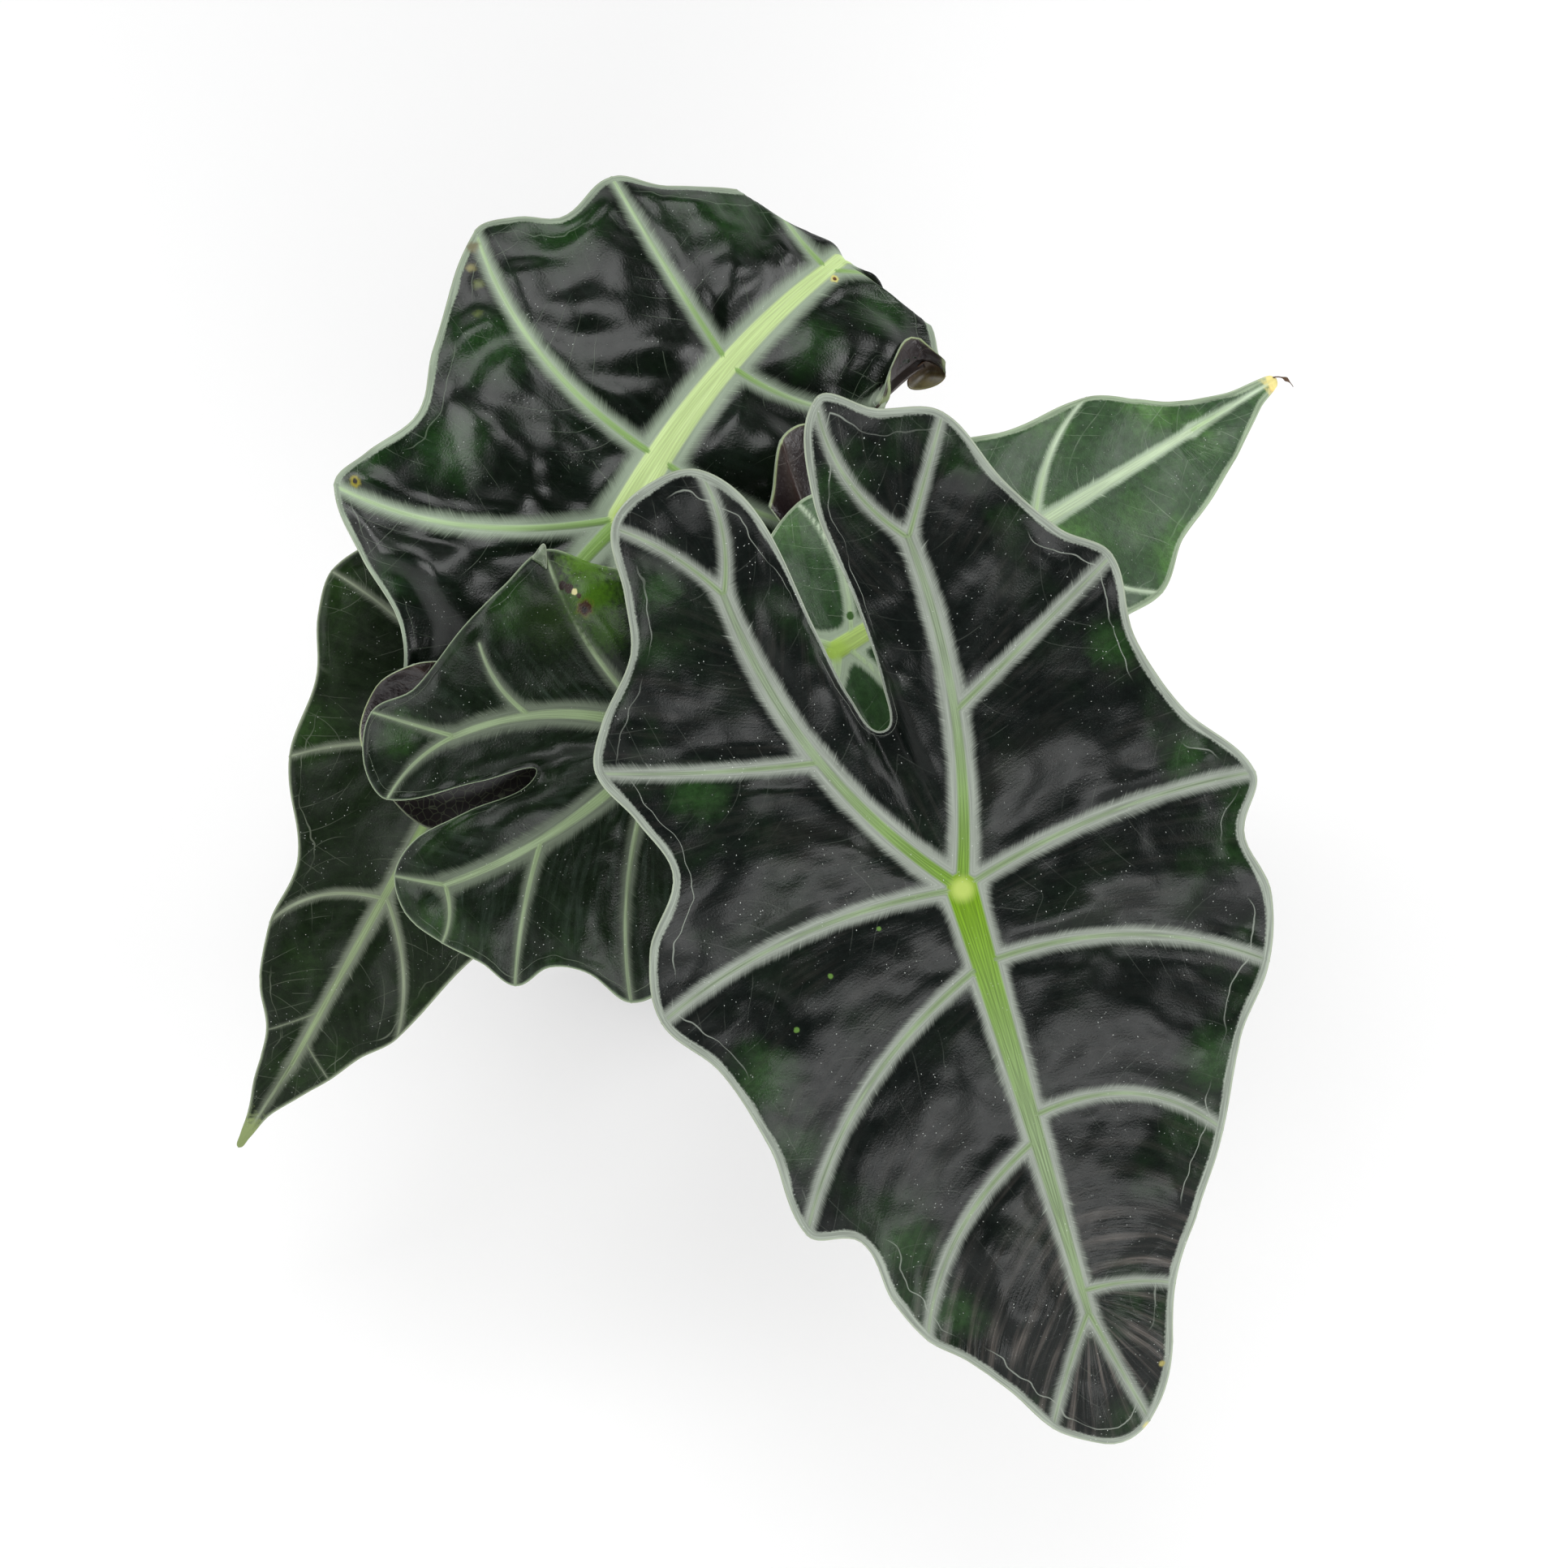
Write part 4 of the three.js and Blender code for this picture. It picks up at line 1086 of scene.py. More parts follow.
def blade_sheet(leaf):
    """The flat blade: welded points, their lift, margin column, faces and the pairs along its rim."""
    rows = settings().blade_rows
    shares = axis_shares(leaf)
    points, lifts, columns, faces, rim = [], [], [], [], []
    base = 0
    veins = leaf["veins"]
    for vein, following, margin in zip(veins, veins[1:] + veins[:1], margin_runs(leaf)):
        inner = inner_path(leaf, shares, vein, following)
        grid, lift, column = blade_patch(leaf, vein, following, inner, margin)
        count = len(grid) - 1
        points.append(grid.reshape(-1, 2))
        lifts.append(lift.ravel())
        columns.append(column)
        j, r = np.meshgrid(np.arange(count), np.arange(rows), indexing="ij")
        corner = base + j * (rows + 1) + r
        quads = np.stack([corner, corner + rows + 1, corner + rows + 2, corner + 1], -1)
        faces.append(quads.reshape(-1, 4))
        edge = base + np.arange(count) * (rows + 1) + rows
        rim.append(np.stack([edge, edge + rows + 1], -1))
        base += (count + 1) * (rows + 1)
    points, lifts, columns = (np.concatenate(values) for values in (points, lifts, columns))
    keys = np.rint(points * 2000).astype(np.int64)
    _, first, weld = np.unique(keys, axis=0, return_index=True, return_inverse=True)
    weld = weld.ravel()
    return (points[first], lifts[first], columns[first],
            weld[np.concatenate(faces)], weld[np.concatenate(rim)])


def vein_lines(leaf, look):
    """Every vein as (points, core and whole half width at its root, the same at its end, kind)."""
    t = np.linspace(0, 1, 25)
    ribs = look["ribs"]
    root, end = look["midrib"]
    lobe = (1.75 * ribs, 4.8 * ribs), (0.85 * ribs, 3.0 * ribs)
    lines = [
        (stroke(ORIGIN, *leaf["midrib"])(t), root, end, 0),
        (stroke(ORIGIN, *leaf["right"])(t), *lobe, 1),
        (stroke(ORIGIN, *leaf["left"])(t), *lobe, 1),
        (np.array([(0, -0.6), (0, 0.6)]), (root[0] * 0.9, root[1]), (root[0] * 0.9, root[1]), 0),
    ]
    for index, (axis, share, crest, bow, weight, _) in enumerate(leaf["veins"]):
        if weight:
            share, crest, bow = look.get("drawn", {}).get(index, (share, crest, bow))
            start = (0.4 * weight + 0.45) * ribs if weight > 0.35 else look.get("least", 0.14)
            sizes = (start, 3.5 * start), (0.5 * start, 3.5 * start * look["taper"])
            lines.append((stroke(stroke(ORIGIN, *leaf[axis])(share)[0], crest, bow)(t), *sizes, 2))
    return lines


def vein_field(points, leaf, look):
    """What the blade's shape and finish need to know about its veins at each point."""
    past_core, past_band, runs, greens, kinds = [], [], [], [], []
    rows = np.arange(len(points))
    for line, start, end, kind in vein_lines(leaf, look):
        p, d = line[:-1], np.diff(line, axis=0)
        size = np.linalg.norm(d, axis=1)
        along = np.concatenate([[0], np.cumsum(size)])
        offset = points[:, None] - p[None]
        t = np.clip((offset * d).sum(-1) / size**2, 0, 1)
        gap = np.linalg.norm(offset - t[..., None] * d, axis=-1)
        best = gap.argmin(1)
        run = along[best] + t[rows, best] * size[best]
        gap = gap[rows, best]
        share = (run / along[-1]) ** 0.85
        past_core.append(gap - start[0] - (end[0] - start[0]) * share)
        past_band.append(gap - start[1] - (end[1] - start[1]) * share)
        fresh, faded = look["greens"][kind]
        greens.append(fresh + (faded - fresh) * smooth(share * 1.35))
        runs.append(run)
        kinds.append(kind)
    past_core, past_band = np.array(past_core), np.array(past_band)
    by_core, order = past_core.argmin(0), np.argsort(past_band, axis=0)
    web = 0.7
    nearest = past_band.min(0)
    return {
        "band_gap": nearest - web * np.log(np.exp((nearest - past_band) / web).sum(0)),
        "core_gap": past_core.min(0),
        "vein_run": np.array(runs)[order[0], rows],
        "green": np.array(greens)[by_core, rows],
        "midrib_share": (np.array(kinds)[by_core] == 0).astype(float),
        "further": past_band[order[1], rows] - past_band[order[0], rows],
    }


def edge_distance(points, leaf):
    """Distance from each point to the margin, stretched near the notch, where the rim is thin."""
    closed = np.concatenate([run[:-1] for run in margin_runs(leaf)])
    p, d = closed, np.roll(closed, -1, 0) - closed
    size = np.maximum((d * d).sum(-1), 1e-12)
    result = np.empty(len(points))
    for start in range(0, len(points), 4000):
        offset = points[start:start + 4000, None] - p[None]
        t = np.clip((offset * d).sum(-1) / size, 0, 1)
        result[start:start + 4000] = np.linalg.norm(offset - t[..., None] * d, axis=-1).min(1)
    notch = next(crest for _, _, crest, _, weight, _ in leaf["veins"] if not weight)
    return result * (1 + 3 * smooth(1 - np.linalg.norm(points - notch, axis=1) / 75))


def bent(points, flat, bend):
    """Rolls points about the bend's line; `within` lines keep it to a part of the flat blade."""
    x, y, turn, length, angle, *rest = bend
    way = facing(turn)
    ahead = (points[:, :2] - (x, y)) @ way
    grown = np.ones(len(points))
    for fx, fy, toward, width in (rest[0] if rest else ()):
        grown *= smooth(((flat - (fx, fy)) @ facing(toward)) / width)
    total = math.radians(angle) * grown
    moved = (ahead > 0) & (np.abs(total) > 1e-6)
    curl = np.where(moved, total, 1) / length
    tilt = np.minimum(ahead, length) * curl
    past = np.maximum(ahead - length, 0)
    reach = np.sin(tilt) / curl + past * np.cos(tilt) + points[:, 2] * np.sin(tilt)
    fall = (1 - np.cos(tilt)) / curl + past * np.sin(tilt)
    result = points.copy()
    result[moved, :2] += ((reach - ahead)[:, None] * way)[moved]
    result[moved, 2] = (points[:, 2] * np.cos(tilt) - fall)[moved]
    return result


def leaf_matrix(leaf):
    heading, pitch, roll = (math.radians(angle) for angle in leaf["turn"])
    turn = (Matrix.Rotation(heading - math.pi / 2, 3, "Z") @ Matrix.Rotation(-pitch, 3, "X")
            @ Matrix.Rotation(roll, 3, "Y"))
    return np.array(turn), np.array(leaf["at"]) + (0, 0, POT_HEIGHT)


def ripple(points, scale, seed):
    """Smooth noise from about -1 to 1 over the flat blade."""
    turns = np.random.default_rng(seed).uniform(0, 2 * math.pi, (64, 64))
    p = points / scale + 32
    cell = np.floor(p).astype(int)
    near = p - cell
    total = np.zeros(len(points))
    for i in (0, 1):
        for j in (0, 1):
            turn = turns[(cell[:, 0] + i) % 64, (cell[:, 1] + j) % 64]
            slope = np.cos(turn) * (near[:, 0] - i) + np.sin(turn) * (near[:, 1] - j)
            share = smooth(1 - np.abs(near - (i, j)))
            total += slope * share[:, 0] * share[:, 1]
    return total * 1.6


def puckers(flat, field, edge, look, seed):
    """Broad swells, smaller blisters with creases between them, and a ruffle along the margin."""
    size = look["grain"]
    sway = [ripple(flat, 26 * size, seed), ripple(flat, 26 * size, seed + 1)]
    warp = np.column_stack(sway) * 7 * size
    broad = ripple(flat + warp, 21 * size, seed + 2) + 0.35 * ripple(flat + warp, 9 * size, seed + 3)
    crease = np.abs(ripple(flat + 0.6 * warp, 13 * size, seed + 4))
    blister = crease + 0.4 * np.abs(ripple(flat, 7 * size, seed + 5)) - 0.45
    away, further, run = field["band_gap"], field["further"], field["vein_run"]
    calm = smooth((away + 1) / 6) * smooth(edge / 8)
    ruffle = 0.3 * np.sin(run * 0.55 + away * 0.3) * smooth(1 - edge / 6)
    blister_share = 0.5 + 0.5 * smooth(further / 6)
    return (look["swell"] * broad + look["pucker"] * blister * blister_share) * calm + ruffle


def blade_faces(faces, rim, count):
    """Faces of the upper side, the underside and the rim, and the material slot of each."""
    polygons, slots = [], []
    for material, quads in ((0, faces), (1, faces[:, ::-1] + count)):
        for quad in quads.tolist():
            corners = list(dict.fromkeys(quad))
            if len(corners) > 2:
                polygons.append(corners)
                slots.append(material)
    for p, q in rim.tolist():
        polygons.append([p, q, q + count, p + count])
        slots.append(0)
    return polygons, slots


def blade_sides(leaf, flat, lift, edge, inside):
    """The points of the upper side and of the underside, bent and in place."""
    thin = settings().blade_thickness / MM / 2 * (0.4 + 0.6 * smooth(edge / 2.5))
    rise = settings().rib_rise / MM * np.sqrt(np.clip(inside, 0, 1.6) / 1.6)
    keel = RIB_DEPTH * np.sqrt(np.clip(inside + 0.4, 0, 3) / 3) * smooth((inside + 0.4) / 0.6)
    turn, at = leaf_matrix(leaf)
    sides = []
    for height in (lift + thin + rise, lift - thin - keel):
        points = np.column_stack([flat, height])
        for bend in leaf["bends"]:
            points = bent(points, flat, bend)
        sides.append(points @ turn.T + at)
    return np.concatenate(sides)


def build_blade(name, leaf, look):
    flat, lift, column, faces, rim = blade_sheet(leaf)
    field = vein_field(flat, leaf, look)
    edge = edge_distance(flat, leaf)
    lift = lift + puckers(flat, field, edge, look, len(name))
    points = blade_sides(leaf, flat, lift, edge, np.clip(-field["core_gap"], 0, None))
    polygons, slots = blade_faces(faces, rim, len(flat))
    materials = [upper_material(name, look), under_material(name, look)]
    piece = mesh_object(f"{name}_blade", points, polygons, materials, slots)
    mesh = piece.data
    del field["further"]
    for key, values in (*field.items(), ("column", column), ("edge_gap", edge)):
        add_attribute(mesh, key, np.tile(values, 2))
    corners = np.empty(len(mesh.loops), np.int32)
    mesh.loops.foreach_get("vertex_index", corners)
    uv = mesh.uv_layers.new(name="flat")
    uv.data.foreach_set("uv", (np.tile(flat, (2, 1))[corners] * MM).astype(np.float32).ravel())
    return settle(piece, "blade", f"blade_{name}")


# ------------------------------------------------------------------ leaf stalks and crown
def stalk_material():
    material, tree, shader = new_material("stalk_skin")
    place = tree.object_place()
    run, turn = tree.attribute("stalk_run"), tree.attribute("stalk_turn")
    grain = tree.group(shared("grain"), place=place, coarse=120, fine=1500)
    stripes = tree.noise(tree.vector(tree.times(run, 0.035), tree.times(turn, 2.6)),
                         3.0, 3.0, 0.6)
    green = (*settings().stalk_colour, 1)
    colour = tree.mix(tree.steps(stripes, 0.4, 0.68), green, linear((168, 172, 96)))
    bands = tree.noise(tree.vector(tree.times(run, 0.16), turn), 2.2, 3.0, 0.65)
    colour = tree.mix(tree.steps(bands, 0.52, 0.66, 0.0, 0.75), colour, linear((98, 74, 62)))
    foot = tree.steps(run, 12.0, 44.0, 1.0, 0.0)
    colour = tree.mix(tree.times(foot, 0.85), colour, linear((186, 172, 118)))
    scale = tree.steps(grain["Blotch"], 0.55, 0.75)
    colour = tree.mix(tree.times(tree.times(scale, foot), 0.8), colour,
                      linear((112, 84, 50)))
    tree.feed(shader["Base Color"], colour)
    tree.feed(shader["Roughness"], tree.fused(grain["Blotch"], 0.3, 0.28))
    ridges = tree.noise(tree.vector(tree.times(run, 0.01), turn), 9.0, 2.0)
    tree.feed(shader["Normal"], tree.bump(ridges, 0.0005, 0.6))
    return material


def catmull_rom(points, count):
    """Centripetal Catmull-Rom curve through points, as `count + 1` evenly spaced ones."""
    points = np.array(points, float)
    ends = [2 * points[:1] - points[1:2], 2 * points[-1:] - points[-2:-1]]
    p = np.concatenate([ends[0], points, ends[1]])
    step = np.linalg.norm(np.diff(p, axis=0), axis=1) ** 0.5
    t = np.linspace(0, 1, 40, endpoint=False)[:, None]
    samples = []
    for k in range(1, len(p) - 2):
        d0, d1, d2 = step[k - 1:k + 2]
        m = ((p[k] - p[k - 1]) / d0 - (p[k + 1] - p[k - 1]) / (d0 + d1) + (p[k + 1] - p[k]) / d1) * d1
        n = ((p[k + 1] - p[k]) / d1 - (p[k + 2] - p[k]) / (d1 + d2) + (p[k + 2] - p[k + 1]) / d2) * d1
        samples.append(p[k] + m * t + (-3 * p[k] + 3 * p[k + 1] - 2 * m - n) * t**2
                       + (2 * p[k] - 2 * p[k + 1] + m + n) * t**3)
    samples = np.concatenate([*samples, points[-1:]])
    along = np.concatenate([[0], np.cumsum(np.linalg.norm(np.diff(samples, axis=0), axis=1))])
    even = np.linspace(0, along[-1], count + 1)
    return np.stack([np.interp(even, along, samples[:, k]) for k in range(3)], -1), along[-1]


def stalk_path(leaf, count):
    _, base, route = leaf["stalk"]
    x, y = STALK_RING * facing(base)
    turn, at = leaf_matrix(leaf)
    join = at + turn @ (0, 0, -HUB_DEPTH)
    approach = at + turn @ (0, 0, -APPROACH_DEPTH)
    points = [(x, y, SOIL_TOP - STALK_DEPTH), (x, y, SOIL_TOP)]
    points += [(px, py, pz + POT_HEIGHT) for px, py, pz in route]
    return catmull_rom([*points, approach, join], count)


def curl_material(name, first, last, edging):
    material, tree, shader = new_material(name)
    place = tree.scaled(tree.object_place(), 1000.0)
    across, free = tree.attribute("across"), tree.attribute("free_gap")
    colour = tree.mix(across, linear(first), linear(last))
    colour = tinted(tree, colour, 0.7, 1.35, tree.noise(place, 0.5, 3.0, 0.6))
    cells = tree.add("ShaderNodeTexVoronoi", {"Vector": place, "Scale": 0.4},
                     feature="DISTANCE_TO_EDGE")
    net = tree.steps(cells.outputs["Distance"], 0.01, 0.05, 0.35, 0.0)
    colour = tree.mix(net, colour, linear(edging))
    colour = tree.mix(tree.steps(free, 0.25, 0.6, 0.9, 0.0), colour, linear(edging))
    tree.feed(shader["Base Color"], colour)
    shader["Roughness"].default_value = 0.34
    return material


def curled_sheet(curl, along, across):
    """Grid of points on a small sheet, from its held edge to its free edge."""
    start, end = np.array(curl["held"], float)
    bow, out = np.array(curl["bow"], float), np.array(curl["out"], float)
    run = np.linspace(0, 1, along + 1)[:, None, None]
    over = np.linspace(0, 1, across + 1)[None, :, None]
    swell = np.sin(math.pi * run)
    width = curl["ends"] + (1 - curl["ends"]) * swell ** curl["peak"]
    inward = np.cross(end - start, out)
    inward /= np.linalg.norm(inward)
    hollow = curl["hollow"] * swell * np.sin(math.pi * over) * inward
    return start + (end - start) * run + bow * swell + out * width * over + hollow


def build_curl(name, curl):
    """A small curled sheet of leaf margin."""
    across, along = 18, 26
    sheet = curled_sheet(curl, along, across) + (0, 0, POT_HEIGHT)
    slope = np.cross(np.gradient(sheet, axis=0), np.gradient(sheet, axis=1))
    slope /= np.maximum(np.linalg.norm(slope, axis=2, keepdims=True), 1e-9)
    sides = [sheet + CURL_HALF_THICKNESS * slope, sheet - CURL_HALF_THICKNESS * slope]
    points = np.concatenate([side.reshape(-1, 3) for side in sides])
    size = (along + 1) * (across + 1)
    faces = []
    for square in grid_faces(along, across, flipped=True):
        faces += [square, [size + k for k in reversed(square)]]
    rim = [i * (across + 1) for i in range(along + 1)]
    rim += [along * (across + 1) + j for j in range(1, across + 1)]
    rim += [i * (across + 1) + across for i in range(along - 1, -1, -1)]
    rim += list(range(across - 1, 0, -1))
    faces += [[q, p, p + size, q + size] for p, q in zip(rim, rim[1:] + rim[:1])]
    piece = mesh_object(name, points, faces, [curl_material(name, *curl["colours"])])
    gap = np.linalg.norm(sheet - sheet[:, -1:], axis=2).ravel()
    add_attribute(piece.data, "across", np.tile(np.arange(across + 1) / across, 2 * (along + 1)))
    add_attribute(piece.data, "free_gap", np.tile(gap, 2))
    return settle(piece, "blade")


def build_thread():
    material, _, shader = new_material("dry_thread")
    shader["Base Color"].default_value = linear((84, 60, 40))
    shader["Roughness"].default_value = 0.7
    t = np.linspace(0, 1, 25)
    along, aside = facing(THREAD_HEADING), facing(THREAD_HEADING + 90)
    arch = 4 * t * (1 - t)
    flat = np.outer(THREAD_LENGTH * t, along) + np.outer(THREAD_BOW * arch, aside)
    path = np.column_stack([flat, THREAD_RISE * arch]) + THREAD_START
    radius = 0.22 + 0.5 * np.exp(-((t - 0.62) / 0.12) ** 2) - 0.12 * t
    points, _ = tube(path + (0, 0, POT_HEIGHT), radius, 10, lambda angles, k: 1 + 0 * angles)
    piece = mesh_object("tip_thread", points, tube_faces(25, 10), [material])
    return settle(piece, "blade")


def tube(path, radius, sides, profile):
    """Rings of points along path; profile(angle, ring index) scales each ring's radius."""
    tangents = np.gradient(path, axis=0)
    tangents /= np.linalg.norm(tangents, axis=1, keepdims=True)
    normal = np.cross(tangents[0], (0, 1, 0))
    angles = ring_angles(sides)
    rings = []
    for k, (centre, tangent) in enumerate(zip(path, tangents)):
        normal = normal - (normal @ tangent) * tangent
        normal /= np.linalg.norm(normal)
        side = np.cross(tangent, normal)
        reach = (radius[k] * profile(angles, k))[:, None]
        around = np.cos(angles)[:, None] * normal + np.sin(angles)[:, None] * side
        rings.append(centre + reach * around)
    return np.concatenate(rings), angles


def tube_faces(rings, sides):
    faces = grid_faces(rings - 1, sides, closed=True)
    faces.append(list(range(sides))[::-1])
    faces.append([(rings - 1) * sides + j for j in range(sides)])
    return faces


def build_stalk(name, leaf, material):
    count, sides = 150, 36
    path, length = stalk_path(leaf, count)
    t = np.arange(count + 1) / count
    top_radius = leaf["stalk"][0]
    radius = STALK_FOOT_RADIUS + (top_radius - STALK_FOOT_RADIUS) * smooth(t * 1.15)
    radius = radius * (1 + 0.35 * smooth((t - 0.985) / 0.015))
    sheath_end = 0.3
    towards = math.radians(leaf["stalk"][1] + 90)

    def profile(angles, k):
        sheath = smooth((sheath_end - t[k]) / 0.08)
        around = np.angle(np.exp(1j * (angles - towards)))
        wings = np.exp(-((np.abs(around) - 0.5) / 0.16) ** 2) - 0.8 * np.exp(-(around / 0.3) ** 2)
        ribs = 0.012 * np.cos(11 * angles)
        return 1 + 0.1 * sheath * wings + ribs

    points, angles = tube(path, radius, sides, profile)
    piece = mesh_object(f"{name}_stalk", points, tube_faces(count + 1, sides), [material])
    add_attribute(piece.data, "stalk_run", np.repeat(t * length, sides))
    add_attribute(piece.data, "stalk_turn", np.tile(np.abs(angles - math.pi), count + 1))
    return settle(piece, "stalk", f"stalk_{name}")


def crown_material():
    material, tree, shader = new_material("crown_bark")
    place = tree.object_place()
    grain = tree.group(shared("grain"), place=place, coarse=260, fine=1800)
    colour = tree.mix(tree.steps(grain["Blotch"], 0.35, 0.7),
                      linear((116, 88, 52)), linear((58, 42, 28)))
    colour = tree.mix(tree.steps(grain["Grain"], 0.55, 0.75, 0.0, 0.6), colour, linear((150, 128, 78)))
    tree.feed(shader["Base Color"], colour)
    tree.feed(shader["Roughness"], tree.fused(grain["Grain"], 0.3, 0.6))
    tree.feed(shader["Normal"], tree.bump(grain["Blotch"], 0.001, 0.8))
    return material


def build_crown(material):
    """A knobbly stump ringed with old leaf scars."""
    sides, rings = 48, 60
    radius, depth, rise = 6.2, 16, 9
    t = np.arange(rings) / (rings - 1)
    height = -depth + (depth + rise) * t
    outline = radius * np.sqrt(np.clip(1 - smooth((height - 2) / (rise - 1.8)) ** 1.4, 0.0004, 1))
    outline *= 0.72 + 0.28 * smooth((height + depth) / 4)
    path = np.column_stack([np.zeros(rings), np.zeros(rings), SOIL_TOP + height])

    def profile(angles, k):
        scars = 0.05 * abs(math.sin(height[k] * 1.5)) - 0.03
        knobs = 0.05 * np.sin(3 * angles + height[k]) + 0.03 * np.sin(7 * angles - 2 * height[k])
        return 1 + scars + knobs

    points, _ = tube(path, outline, sides, profile)
    piece = mesh_object("crown_stump", points, tube_faces(rings, sides), [material])
    return settle(piece, "crown", "crown")


def build_scales(material):
    """Dry papery sheaths left around the crown."""
    points, faces = [], []
    across, up = 12, 14
    for index in range(5):
        turn = math.radians(72 * index + 20)
        tall = 15 + 4 * math.sin(index * 2.1)
        base = len(points)
        for i in range(up + 1):
            v = i / up
            spread = 0.62 * math.sqrt(max(1 - v, 0.0)) + 0.02
            reach = 6.9 + 2.3 * v * v + 0.5 * math.sin(5 * v + index)
            for j in range(across + 1):
                u = 2 * j / across - 1
                angle = turn + u * spread
                ripple = 0.25 * math.sin(9 * u + 6 * v)
                r = reach + 0.7 * u * u + ripple
                points.append((r * math.cos(angle), r * math.sin(angle), SOIL_TOP - 3 + tall * v))
        faces += grid_faces(up, across, base)
    piece = mesh_object("crown_scales", points, faces, [material])
    shell = piece.modifiers.new("thickness", "SOLIDIFY")
    shell.thickness = 0.35 * MM
    shell.offset = 0
    return settle(plain_mesh(piece, "crown_scales"), "crown")


# ------------------------------------------------------------------ pot and soil
def pot_material():
    material, tree, shader = new_material("pot_plastic")
    place = tree.object_place()
    grain = tree.group(shared("grain"), place=place, coarse=40, fine=2600)
    base = (*settings().pot_colour, 1)
    dusty = linear((92, 88, 82))
    separate = tree.add("ShaderNodeSeparateXYZ", {0: place}).outputs["Z"]
    low = tree.steps(separate, 0.0, 0.03, 0.5, 0.12)
    colour = tree.mix(tree.times(tree.steps(grain["Blotch"], 0.45, 0.8), low), base, dusty)
    tree.feed(shader["Base Color"], colour)
    tree.feed(shader["Roughness"], tree.fused(grain["Blotch"], 0.3, 0.3))
    tree.feed(shader["Normal"], tree.bump(grain["Grain"], 0.00012, 0.5))
    return material


def pot_wall_radius(z):
    """Inner radius of the pot at a height."""
    flare = POT_SHOULDER_RADIUS - POT_FOOT_RADIUS
    outer = POT_FOOT_RADIUS + flare * (z - POT_FLOOR_TOP) / (POT_HEIGHT - POT_FLOOR_TOP)
    return outer - settings().wall / MM


def lathe(profile, sides):
    """Turns (radius, height) pairs about the Z axis; pairs on the axis close the shape."""
    rings = np.array([pair for pair in profile if pair[0] > 0])
    angles = ring_angles(sides)
    points = np.concatenate([
        np.column_stack([r * np.cos(angles), r * np.sin(angles), np.full(sides, z)]) for r, z in rings])
    low, high = len(points), len(points) + 1
    points = np.concatenate([points, [(0, 0, profile[0][1]), (0, 0, profile[-1][1])]])
    faces = tube_faces(len(rings), sides)[:-2]
    for j in range(sides):
        n = (j + 1) % sides
        faces.append([low, n, j])
        faces.append([high, (len(rings) - 1) * sides + j, (len(rings) - 1) * sides + n])
    return points, faces


def rounded(points, radius, steps=4):
    """Rounds the corners of an open outline of (radius, height, round?) points."""
    result = []
    for k, (r, z, curved) in enumerate(points):
        here = np.array((r, z), float)
        if not curved:
            result.append(tuple(here))
            continue
        before = np.array(points[k - 1][:2], float) - here
        after = np.array(points[k + 1][:2], float) - here
        p = here + before / np.linalg.norm(before) * radius
        q = here + after / np.linalg.norm(after) * radius
        for t in np.linspace(0, 1, steps + 1):
            result.append(tuple((1 - t) ** 2 * p + 2 * t * (1 - t) * here + t * t * q))
    return result


def plain_mesh(piece, name):
    """The evaluated mesh of a piece as a new plain object; the old one is removed."""
    evaluated = piece.evaluated_get(bpy.context.evaluated_depsgraph_get())
    mesh = bpy.data.meshes.new_from_object(evaluated)
    mesh.name = name
    bpy.data.objects.remove(piece)
    made = bpy.data.objects.new(name, mesh)
    bpy.context.scene.collection.objects.link(made)
    return made


def drill(piece, name, cutters):
    """Cuts each cutter out of a piece and gives the plain result."""
    for cutter in cutters:
        cut = piece.modifiers.new("hole", "BOOLEAN")
        cut.operation = "DIFFERENCE"
        cut.solver = "EXACT"
        cut.object = cutter
    made = plain_mesh(piece, name)
    for cutter in cutters:
        bpy.data.objects.remove(cutter)
    return made


def build_pot(material):
    band_foot = POT_HEIGHT - POT_BAND_HEIGHT
    inner_top = pot_wall_radius(POT_HEIGHT)
    outline = rounded([
        (0, POT_FLOOR_FOOT, False), (20, POT_FLOOR_FOOT, False), (40, POT_FLOOR_FOOT, True),
        (41, 0, True), (POT_FOOT_RADIUS, 0, True), (POT_SHOULDER_RADIUS, band_foot - 1, False),
        (POT_SHOULDER_RADIUS, band_foot, False), (RIM_RADIUS, band_foot, True),
        (RIM_RADIUS, band_foot + 2, False), (RIM_RADIUS - 0.5, band_foot + 2.6, False),
        (RIM_RADIUS - 0.5, POT_HEIGHT - 3.4, False), (RIM_RADIUS, POT_HEIGHT - 2.8, False),
        (RIM_RADIUS, POT_HEIGHT, True), (inner_top, POT_HEIGHT, True),
        (pot_wall_radius(60), 60, False), (pot_wall_radius(POT_FLOOR_TOP), POT_FLOOR_TOP, False),
        (0, POT_FLOOR_TOP, False),
    ], 0.5)
    points, faces = lathe(outline, 144)
    pot = mesh_object("pot_blank", points, faces, [material])
    cutters = []
    for i in range(HOLE_COUNT):
        x, y = HOLE_RING * facing(45 * i + 22.5)
        round_points, round_faces = lathe(
            [(0, -4), (HOLE_RADIUS, -4), (HOLE_RADIUS, 8), (0, 8)], 28)
        cutters.append(mesh_object(f"drain_{i}", round_points + (x, y, 0), round_faces, [material]))
    pot = drill(pot, "nursery_pot", cutters)
    pot.data.set_sharp_from_angle(angle=math.radians(40))
    return settle(pot, "pot", "pot")


